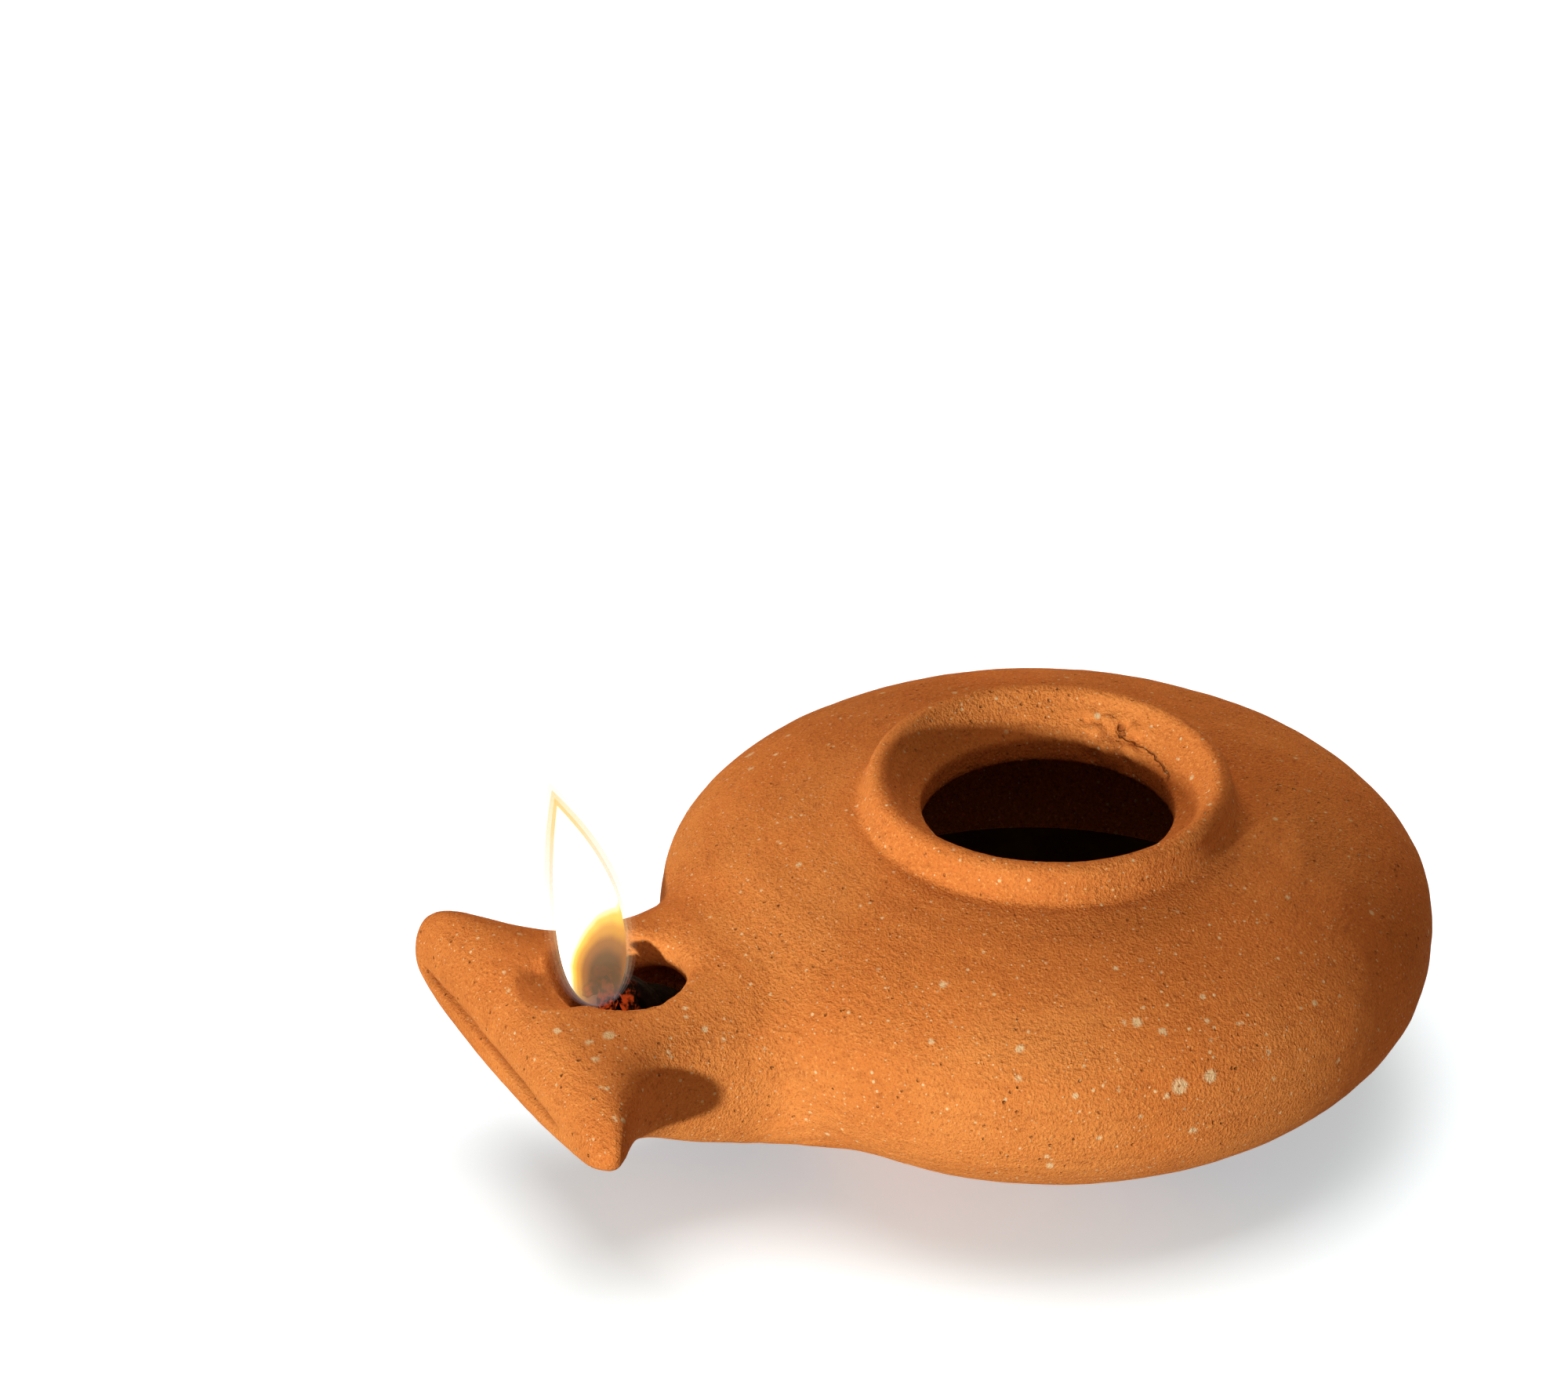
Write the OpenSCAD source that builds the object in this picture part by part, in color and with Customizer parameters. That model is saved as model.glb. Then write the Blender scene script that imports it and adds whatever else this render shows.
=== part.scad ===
// Terracotta oil lamp with a splayed, hand-pared nozzle.
// A wheel-thrown body is closed over to a ring round its filling hole. A hand-formed nozzle
// is luted onto its wall with slip. A twisted linen wick lies in the oil, runs through the
// nozzle and comes up through the wick hole.
// Millimetres, +Z up, origin at the centre of the flat base. The nozzle points along -Y.

/* [Body] */
// Largest radius of the thrown body
body_r = 35; // [34:0.5:36]
// Height of the body's widest circle above the table
equator_z = 17; // [16.5:0.25:17.5]
// Radius of the flat, string-cut base
base_r = 17; // [15:0.5:19]
// Thickness of the clay wall
wall = 3; // [2.5:0.1:3.2]

/* [Filling hole] */
// Radius of the filling hole
hole_r = 11.4; // [10.5:0.1:12]
// Height of the ring's crest above the table
crest_z = 31.6; // [31:0.1:32.5]
// Radius of the ring's crest
crest_r = 15.4; // [15:0.1:15.8]
// Radius of the rounding on the crest
crest_round = 1.1; // [0.8:0.1:1.3]
// Radius of the ring's foot on the shoulder
ring_foot_r = 17.2; // [16.9:0.1:17.6]

/* [Nozzle] */
// Distance from the body's axis to the front edge of the nozzle
nozzle_reach = 54.2; // [53.5:0.1:55]
// Half the width across the two horns
horn_half = 20.2; // [18:0.1:21]
// Height of the pinched crease in the front edge
crease_z = 15; // [14.5:0.1:15.5]
// Depth of the crease
crease_depth = 1.6; // [1:0.1:2]
// Radius of the wick hole
wick_hole_r = 6.1; // [5.5:0.1:6.3]
// Distance from the body's axis to the wick hole's centre
wick_hole_y = 42.5; // [42.2:0.1:42.8]
// Distance of the wick hole's centre to the left of the nozzle's middle
wick_hole_x = 1; // [0.6:0.1:1.2]
// Thickness of the layer of slip between body and nozzle
slip = 0.6; // [0.4:0.1:0.8]

/* [Wick and oil] */
// Height of the oil above the table
oil_z = 9; // [7:0.5:9.5]
// Radius of one strand of the wick
strand_r = 1; // [0.8:0.05:1]
// Length of wick in which a strand makes one turn
lay_pitch = 15; // [12:1:20]

/* [Flame] */
// Height of the flame from the wick's tip
flame_h = 23.2; // [14:0.1:24]
// Largest radius of the flame
flame_r = 3.7; // [3:0.1:4]
// Forward lean of the flame
flame_lean = 9.5; // [0:0.5:12]

/* [Hidden] */
$fn = 96;

clay = "peru";
slip_clay = "sandybrown";
oil_green = "olive";
linen = "wheat";
flame_yellow = "gold";

// Steps along each curve of the thrown profile.
curve_steps = 12;
// The shoulder meets the ring's foot at this height.
ring_foot_z = crest_z - 3.2;
// The throat is the short upright wall of the filling hole.
throat_top = ring_foot_z - 0.2;
throat_bottom = throat_top - 2.4;

// The channel through the nozzle is a flat oval tunnel that rises towards the front.
channel_h = 9;
channel_w = 14;
channel_z = 14;
channel_start = 24;
channel_end = 49.6;
channel_rise = 5;

// The oil stands clear of the clay by this much.
oil_gap = 0.05;
// Room round the wick in the oil, and between the wick and the flame that stands on it.
wick_room = 0.4;
flame_gap = 0.15;

// Sides of the nozzle's cross-section, and rings from root to front edge.
nozzle_sides = 48;
nozzle_rings = 36;

// Nozzle sections: distance from the body's axis, half width, height of the underside, of the
// widest line and of the top, squareness above and below the widest line, and how much thinner
// the right horn is than the left one.
nozzle_sections = [
    [nozzle_reach - 30, 19.5, 4.0, 14.0, 25.8, 2.2, 2.4, 0],
    [nozzle_reach - 26, 16.4, 4.5, 14.0, 24.9, 2.4, 2.6, 0],
    [nozzle_reach - 22, 13.6, 5.1, 14.2, 23.5, 2.7, 2.8, 0],
    [nozzle_reach - 18, 12.2, 5.9, 14.6, 22.5, 3.0, 2.8, 0],
    [nozzle_reach - 14, 11.6, 7.0, 15.2, 22.0, 3.4, 2.8, 0.02],
    [nozzle_reach - 10.5, 11.8, 8.4, 15.8, 21.8, 3.8, 2.7, 0.06],
    [nozzle_reach - 7.5, 13.6, 9.7, 16.3, 21.8, 4.0, 2.6, 0.12],
    [nozzle_reach - 5, 16.4, 10.7, 16.8, 21.8, 4.0, 2.5, 0.18],
    [nozzle_reach - 3, horn_half - 1.1, 11.5, 17.0, 21.5, 3.8, 2.4, 0.22],
    [nozzle_reach - 1.6, horn_half, 12.1, 16.8, 20.7, 3.4, 2.3, 0.24],
    [nozzle_reach - 0.5, horn_half - 0.8, 12.9, 16.4, 19.2, 3.0, 2.2, 0.24],
    [nozzle_reach, horn_half - 2.4, 13.9, 15.8, 17.4, 2.6, 2.2, 0.22]
];

// Centre line of the wick in the lamp's middle plane: distance from the axis, height.
wick_line = [[-8, 5.6], [0, 5.6], [8, 5.8], [16, 7.5], [24, 10.5], [31, 13.3], [37, 15.8],
    [41.5, 18.3], [44.6, 21.2]];
wick_rings = 60;
strand_sides = 10;
strand_count = 3;
// Distance of a strand's centre from the wick's centre, with a little air between strands.
strand_offset = strand_r * 2 / sqrt(3) * 1.03;
wick_r = strand_offset + strand_r;
wick_tip = wick_line[len(wick_line) - 1];
// The wick lies in the same upright plane as the wick hole's axis.
wick_x = -wick_hole_x;
// Slope of the wick where it stands in the flame.
tip_slope = 43;

// A point, and the direction of travel, on the cubic curve with control points p.
function curve_point(p, t) =
    pow(1 - t, 3) * p[0] + 3 * pow(1 - t, 2) * t * p[1]
    + 3 * (1 - t) * t * t * p[2] + pow(t, 3) * p[3];
function curve_heading(p, t) =
    pow(1 - t, 2) * (p[1] - p[0]) + 2 * (1 - t) * t * (p[2] - p[1]) + t * t * (p[3] - p[2]);

// Points along a curve, moved to its left by inset.
function curve_path(p, inset = 0, steps = curve_steps) = [
    for (i = [0 : steps])
        let (t = i / steps, h = curve_heading(p, t))
            curve_point(p, t) + inset * [-h[1], h[0]] / norm(h)
];

// The bowl runs from the base's edge up to the widest circle, and the shoulder from there
// up to the foot of the ring.
bowl_curve = [[base_r, 0], [body_r + 0.4, 8.7], [body_r, equator_z - 4.5], [body_r, equator_z]];
shoulder_curve = [[body_r, equator_z], [body_r, equator_z + 4.9], [30.5, equator_z + 9.5],
    [ring_foot_r, ring_foot_z]];

// The ring's rounded crest, from its outer side over the top to its inner side.
function crest_path(steps = 9, from = -20, to = 160) = [
    for (i = [0 : steps])
        let (a = from + (to - from) * i / steps)
            [crest_r, crest_z - crest_round] + crest_round * [cos(a), sin(a)]
];

// The outer face of the body from the axis round to the throat, moved outwards by grow.
function outer_path(grow = 0) = concat(
    [[0, -grow]],
    curve_path(bowl_curve, -grow),
    [for (i = [1 : curve_steps]) curve_path(shoulder_curve, -grow)[i]]
);

// The cavity from the throat down to the axis.
function inner_path(gap = 0) = concat(
    [for (i = [curve_steps : -1 : 1]) curve_path(shoulder_curve, wall + gap)[i]],
    [for (p = [for (i = [curve_steps : -1 : 0]) curve_path(bowl_curve, wall + gap)[i]])
        if (p[1] > wall + gap) p],
    [[base_r - wall - gap, wall + gap], [0, wall + gap]]
);

// A dish that slopes from the crest down to the throat.
function dish_path(steps = 5) =
    let (from = crest_path()[9],
        p = [from, from + [-0.9, -1.1], [hole_r + 1.3, throat_top + 0.7], [hole_r, throat_top]])
        curve_path(p, 0, steps);

// Places a child built along +Z so that it runs forwards along -Y, rising by slope.
module forwards(from, z, slope = 0)
    translate([0, -from, z]) rotate([90 - slope, 0, 0]) children();

// The flat oval tunnel through the body's wall and the nozzle.
module channel() {
    round_r = channel_h / 2;
    forwards(channel_start, channel_z - 0.6, channel_rise)
        linear_extrude(channel_end - channel_start) {
            square([channel_w - channel_h, channel_h], center = true);
            for (side = [-1, 1])
                translate([side * (channel_w / 2 - round_r), 0]) circle(r = round_r);
        }
}

// The body: floor, bowl, shoulder, ring and throat thrown in one piece, with the window
// that the potter cuts before the nozzle goes on.
module thrown_body() {
    color(clay)
        difference() {
            rotate_extrude()
                polygon(concat(outer_path(), crest_path(), dish_path(), [[hole_r, throat_bottom]],
                    inner_path()));
            channel();
        }
}

// Everything inside the thrown body's outer face, moved outwards by grow.
module body_envelope(grow = 0) {
    rotate_extrude()
        polygon(concat(outer_path(grow), [[0, ring_foot_z + grow]]));
}

// Smooth value of column c of the nozzle sections at place u, counted in sections.
function section_value(u, c) =
    let (last = len(nozzle_sections) - 1,
        i = min(floor(u), last - 1),
        t = u - i,
        a = nozzle_sections[max(i - 1, 0)][c],
        b = nozzle_sections[i][c],
        d = nozzle_sections[i + 1][c],
        e = nozzle_sections[min(i + 2, last)][c])
        b + 0.5 * t * (d - a + t * (2 * a - 5 * b + 4 * d - e + t * (3 * (b - d) + e - a)));

// A power that keeps its sign, for the squared-off ovals of the sections.
function signed_pow(v, k) = sign(v) * pow(abs(v), k);

// One ring of points round the nozzle, grown outwards by grow.
function nozzle_ring(u, grow) =
    let (y = section_value(u, 0),
        w = section_value(u, 1) + grow,
        mid = section_value(u, 3),
        down = mid - section_value(u, 2) + grow,
        up = section_value(u, 4) - mid + grow,
        skew = section_value(u, 7))
        [for (i = [0 : nozzle_sides - 1])
            let (a = 360 * i / nozzle_sides,
                above = i < nozzle_sides / 2,
                k = 2 / section_value(u, above ? 5 : 6),
                x = signed_pow(cos(a), k),
                z = (above ? up : down) * signed_pow(sin(a), k))
                [w * x, -y, mid + z * (1 - skew * x)]];

// Side faces between rings of the same size, and a flat cap on each end.
function tube_faces(rings, sides) = concat(
    [for (r = [0 : rings - 2], i = [0 : sides - 1], half = [0, 1])
        let (a = r * sides + i, b = r * sides + (i + 1) % sides)
            half == 0 ? [a, b + sides, b] : [a, a + sides, b + sides]],
    [[for (i = [0 : sides - 1]) i]],
    [[for (i = [sides - 1 : -1 : 0]) (rings - 1) * sides + i]]
);

// The solid nozzle before it is hollowed and trimmed to the body.
module nozzle_blank(grow = 0, rings = nozzle_rings) {
    span = len(nozzle_sections) - 1;
    polyhedron(
        points = [for (r = [0 : rings - 1]) each nozzle_ring(span * r / (rings - 1), grow)],
        faces = tube_faces(rings, nozzle_sides));
}

// The crease where the tube's end was pinched shut.
module crease() {
    length = 26;
    mouth = 0.7;
    translate([-length / 2 - 3, -nozzle_reach, crease_z])
        rotate([90, 0, 90])
            linear_extrude(length)
                polygon([[-1, -mouth * 1.5], [crease_depth, 0], [-1, mouth * 1.5]]);
}

module wick_hole() {
    translate([-wick_hole_x, -wick_hole_y, channel_z])
        cylinder(r = wick_hole_r, h = 12);
}

// The hand-formed nozzle: a pinched and pared tube with the wick hole in its roof.
module nozzle() {
    color(clay)
        difference() {
            nozzle_blank();
            body_envelope(slip);
            channel();
            wick_hole();
            crease();
        }
}

// The layer of slip that lutes the nozzle to the body, squeezed out a little all round.
module luting_slip() {
    color(slip_clay)
        difference() {
            intersection() {
                nozzle_blank(grow = 0.3, rings = 24);
                body_envelope(slip);
            }
            body_envelope();
            channel();
        }
}

// Oil in the bottom of the bowl, with room for the wick where it lies and travels.
module oil() {
    level = oil_z;
    slot = 2 * (wick_r + wick_room);
    color(oil_green)
        difference() {
            intersection() {
                rotate_extrude()
                    polygon(concat(inner_path(oil_gap), [[0, throat_bottom]]));
                cylinder(r = body_r, h = level);
            }
            translate([wick_x - slot / 2, -body_r, 0]) cube([slot, body_r + 11, body_r]);
        }
}

// A point on the wick's centre line at place u from 0 to 1, and its heading there.
function wick_point(u) =
    let (last = len(wick_line) - 1,
        v = u * last,
        i = min(floor(v), last - 1),
        t = v - i,
        a = wick_line[max(i - 1, 0)],
        b = wick_line[i],
        d = wick_line[i + 1],
        e = wick_line[min(i + 2, last)])
        b + 0.5 * t * (d - a + t * (2 * a - 5 * b + 4 * d - e + t * (3 * (b - d) + e - a)));
function wick_heading(u) =
    let (step = 0.002, h = wick_point(min(u + step, 1)) - wick_point(max(u - step, 0)))
        h / norm(h);

wick_length = norm(wick_line[0] - wick_line[len(wick_line) - 1]) * 1.03;

// One ring round a strand, which turns about the centre line as the wick is twisted.
function strand_ring(u, turn) =
    let (c = wick_point(u),
        h = wick_heading(u),
        a = turn + 360 * u * wick_length / lay_pitch,
        up = [0, h[1], h[0]],
        centre = [wick_x, -c[0], c[1]] + strand_offset * ([cos(a), 0, 0] + sin(a) * up))
        [for (i = [0 : strand_sides - 1])
            let (b = 360 * i / strand_sides)
                centre + strand_r * ([cos(b), 0, 0] + sin(b) * up)];

// One of the twisted linen strands, numbered from 0.
module wick_strand(number) {
    turn = 360 * number / strand_count;
    color(linen)
        polyhedron(
            points = [for (r = [0 : wick_rings - 1])
                each strand_ring(r / (wick_rings - 1), turn)],
            faces = tube_faces(wick_rings, strand_sides));
}

// The flame: a leaning teardrop that stands round the wick's tip.
module flame() {
    color(flame_yellow)
        difference() {
            translate([wick_x, -wick_tip[0], wick_tip[1] - 1.5])
                rotate([flame_lean, 0, 0])
                    rotate_extrude()
                        polygon(concat(
                            curve_path([[0, 0], [flame_r * 1.15, 0.9], [flame_r * 1.15, flame_h * 0.5],
                                [0, flame_h]], 0, 18)));
            translate([wick_x, 0, 0])
                forwards(wick_tip[0] - 6, wick_tip[1] - 6 * tan(tip_slope), tip_slope)
                    cylinder(r = wick_r + flame_gap, h = 6 / cos(tip_slope) + 0.4);
        }
}

thrown_body();
nozzle();
luting_slip();
oil();
wick_strand(0);  // wick_strand_1
wick_strand(1);  // wick_strand_2
wick_strand(2);  // wick_strand_3
flame();
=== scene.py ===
import logging
import math
from dataclasses import dataclass, field
from enum import Enum
from typing import Callable, Optional, Sequence

import bmesh
import bpy
from mathutils import Matrix, Vector, noise
from mathutils.bvhtree import BVHTree
from mathutils.kdtree import KDTree


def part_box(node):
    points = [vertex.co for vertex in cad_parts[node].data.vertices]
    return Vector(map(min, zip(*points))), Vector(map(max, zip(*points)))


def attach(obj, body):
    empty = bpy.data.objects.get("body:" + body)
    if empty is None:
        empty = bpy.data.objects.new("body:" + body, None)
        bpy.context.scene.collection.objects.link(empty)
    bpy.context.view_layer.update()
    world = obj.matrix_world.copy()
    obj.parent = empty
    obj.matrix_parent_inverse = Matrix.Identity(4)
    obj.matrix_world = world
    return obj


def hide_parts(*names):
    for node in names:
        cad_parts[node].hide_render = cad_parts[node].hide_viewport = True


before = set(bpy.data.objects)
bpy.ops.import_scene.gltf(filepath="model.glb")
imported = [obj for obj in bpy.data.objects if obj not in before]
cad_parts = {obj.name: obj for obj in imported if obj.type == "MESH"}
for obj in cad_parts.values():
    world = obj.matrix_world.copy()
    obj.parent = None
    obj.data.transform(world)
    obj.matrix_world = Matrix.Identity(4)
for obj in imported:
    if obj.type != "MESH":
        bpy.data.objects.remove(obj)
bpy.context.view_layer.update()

MM = 0.001
LOG = logging.getLogger("oil_lamp")

Point2 = tuple[float, float]
Colour = tuple[float, float, float]
Point3 = tuple[float, float, float]
Socket = bpy.types.NodeSocket
Piece = bpy.types.Object
Mesh = bmesh.types.BMesh


class Body(Enum):
    """The CAD bodies that pieces ride on."""

    LAMP = "lamp"
    WICK = "wick"


class Slot(Enum):
    """The record's material slots of the pieces made here."""

    TERRACOTTA = "terracotta"
    SLIP = "slip_clay"
    LINEN = "linen"
    FLAME = "flame"


class Cut(Enum):
    """What a boolean does with its tool."""

    ADD = "UNION"
    TAKE = "DIFFERENCE"
    KEEP = "INTERSECT"


class Lights(Enum):
    """What a studio lamp lights."""

    FLOOR_ONLY = "INCLUDE"
    ALL_BUT_FLOOR = "EXCLUDE"


# ---------------------------------------------------------------- curves

def bezier(points: Sequence[Point2], t: float) -> Point2:
    """A point on a cubic curve.

    Args:
        points: the four control points.
        t: the place along the curve, 0 to 1.

    Returns:
        The point.
    """
    weights = ((1 - t) ** 3, 3 * (1 - t) ** 2 * t, 3 * (1 - t) * t * t, t ** 3)
    return (sum(w * p[0] for w, p in zip(weights, points)),
            sum(w * p[1] for w, p in zip(weights, points)))


def bezier_path(points: Sequence[Point2], steps: int, inset: float = 0.0) -> list[Point2]:
    """Points along a cubic curve, moved to its left.

    Args:
        points: the four control points.
        steps: how many stretches the path has.
        inset: how far the path is moved to the curve's left.

    Returns:
        The path, from the curve's start to its end.
    """
    path = []
    for i in range(steps + 1):
        t = i / steps
        here = bezier(points, t)
        ahead = bezier(points, min(t + 1e-3, 1.0))
        behind = bezier(points, max(t - 1e-3, 0.0))
        run, rise = ahead[0] - behind[0], ahead[1] - behind[1]
        length = math.hypot(run, rise)
        path.append((here[0] - inset * rise / length, here[1] + inset * run / length))
    return path


def smooth_row(rows: Sequence[Sequence[float]], place: float) -> list[float]:
    """A row between the rows of a list of sections, on a smooth curve through them all.

    Args:
        rows: the sections.
        place: the place wanted, counted in rows.

    Returns:
        The values at that place.
    """
    last = len(rows) - 1
    i = min(int(place), last - 1)
    t = place - i
    before, here, after, beyond = rows[max(i - 1, 0)], rows[i], rows[i + 1], rows[min(i + 2, last)]
    return [b + 0.5 * t * (c - a + t * (2 * a - 5 * b + 4 * c - d + t * (3 * (b - c) + d - a)))
            for a, b, c, d in zip(before, here, after, beyond)]


def ease(low: float, high: float, value: float) -> float:
    """A smooth step from 0 at low to 1 at high."""
    t = min(max((value - low) / (high - low), 0.0), 1.0)
    return t * t * (3 - 2 * t)


# ---------------------------------------------------------------- mesh tools

def new_object(name: str, bm: Mesh) -> Piece:
    """Makes a smoothly shaded object at the origin from a bmesh, and frees the bmesh.

    Args:
        name: the object's name.
        bm: the finished mesh.

    Returns:
        The object, in the scene.
    """
    mesh = bpy.data.meshes.new(name)
    bm.to_mesh(mesh)
    bm.free()
    mesh.shade_smooth()
    made = bpy.data.objects.new(name, mesh)
    bpy.context.scene.collection.objects.link(made)
    return made


def settle_modifiers(piece: Piece) -> None:
    """Writes a piece's modifiers into its mesh and clears them.

    Args:
        piece: the piece.
    """
    graph = bpy.context.evaluated_depsgraph_get()
    mesh = bpy.data.meshes.new_from_object(piece.evaluated_get(graph))
    piece.modifiers.clear()
    old = piece.data
    piece.data = mesh
    mesh.name = piece.name
    if old.users == 0:
        bpy.data.meshes.remove(old)


def carve(piece: Piece, tool: Piece, cut: Cut,
          keep_tool: bool = False) -> None:
    """Joins, cuts or trims a piece with another closed piece.

    Args:
        piece: the piece that is changed.
        tool: the piece that changes it.
        cut: what is done with the tool.
        keep_tool: whether the tool is used again later.
    """
    modifier = piece.modifiers.new(cut.value, "BOOLEAN")
    modifier.operation = cut.value
    modifier.object = tool
    modifier.solver = "MANIFOLD"
    settle_modifiers(piece)
    if not keep_tool:
        bpy.data.objects.remove(tool)


def copy_of(piece: Piece, name: str) -> Piece:
    """A separate copy of a piece and its mesh."""
    twin = bpy.data.objects.new(name, piece.data.copy())
    bpy.context.scene.collection.objects.link(twin)
    return twin


def spun(profile: Sequence[Point2], steps: int) -> Mesh:
    """Turns a profile of (radius, height) in millimetres about the upright axis.

    Args:
        profile: the profile's points, from axis to axis or all round a wall.
        steps: stretches in a full turn.

    Returns:
        A closed mesh in metres.
    """
    bm = bmesh.new()
    verts = [bm.verts.new((r * MM, 0, z * MM)) for r, z in profile]
    edges = [bm.edges.new(pair) for pair in zip(verts, verts[1:])]
    if profile[0][0] > 1e-6:
        edges.append(bm.edges.new((verts[-1], verts[0])))
    bmesh.ops.spin(bm, geom=verts + edges, cent=(0, 0, 0), axis=(0, 0, 1), dvec=(0, 0, 0),
                   angle=math.tau, steps=steps, use_merge=True, use_duplicate=False)
    bmesh.ops.remove_doubles(bm, verts=bm.verts, dist=1e-7)
    bmesh.ops.recalc_face_normals(bm, faces=bm.faces)
    return bm


def lofted(sides: int, rings: int, place: Callable[[float, float], Vector]) -> Mesh:
    """Draws out a ring of vertices, stretch by stretch, into a closed tube.

    Args:
        sides: vertices in each ring.
        rings: how many rings there are.
        place: gives a vertex's position from its ring, 0 to 1, and its turn round the ring.

    Returns:
        The mesh, capped at both ends.
    """
    bm = bmesh.new()
    turn = bm.verts.layers.float.new("turn")
    bmesh.ops.create_circle(bm, cap_ends=True, segments=sides, radius=1.0)
    for vert in bm.verts:
        vert[turn] = math.atan2(vert.co.y, vert.co.x)
        vert.co = place(0.0, vert[turn])
    front = list(bm.edges)
    for ring in range(1, rings):
        grown = bmesh.ops.extrude_edge_only(bm, edges=front)["geom"]
        moved = {item for item in grown if isinstance(item, bmesh.types.BMVert)}
        for vert in moved:
            vert.co = place(ring / (rings - 1), vert[turn])
        front = [item for item in grown if isinstance(item, bmesh.types.BMEdge)
                 and item.verts[0] in moved and item.verts[1] in moved]
    bmesh.ops.holes_fill(bm, edges=front, sides=0)
    bmesh.ops.recalc_face_normals(bm, faces=bm.faces)
    return bm


def surface_of(piece: Piece) -> BVHTree:
    """A search tree over a piece's surface.

    Args:
        piece: the piece.

    Returns:
        The tree.
    """
    bm = bmesh.new()
    bm.from_mesh(piece.data)
    tree = BVHTree.FromBMesh(bm)
    bm.free()
    return tree


def smooth(bm: Mesh, verts: Sequence[bmesh.types.BMVert], factor: float) -> None:
    """Moves vertices part of the way to the middle of their neighbours.

    Args:
        bm: the mesh.
        verts: the vertices that move.
        factor: how far they move, 0 to 1.
    """
    bmesh.ops.smooth_vert(bm, verts=verts, factor=factor, use_axis_x=True, use_axis_y=True,
                          use_axis_z=True)


# ---------------------------------------------------------------- finishes

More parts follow.
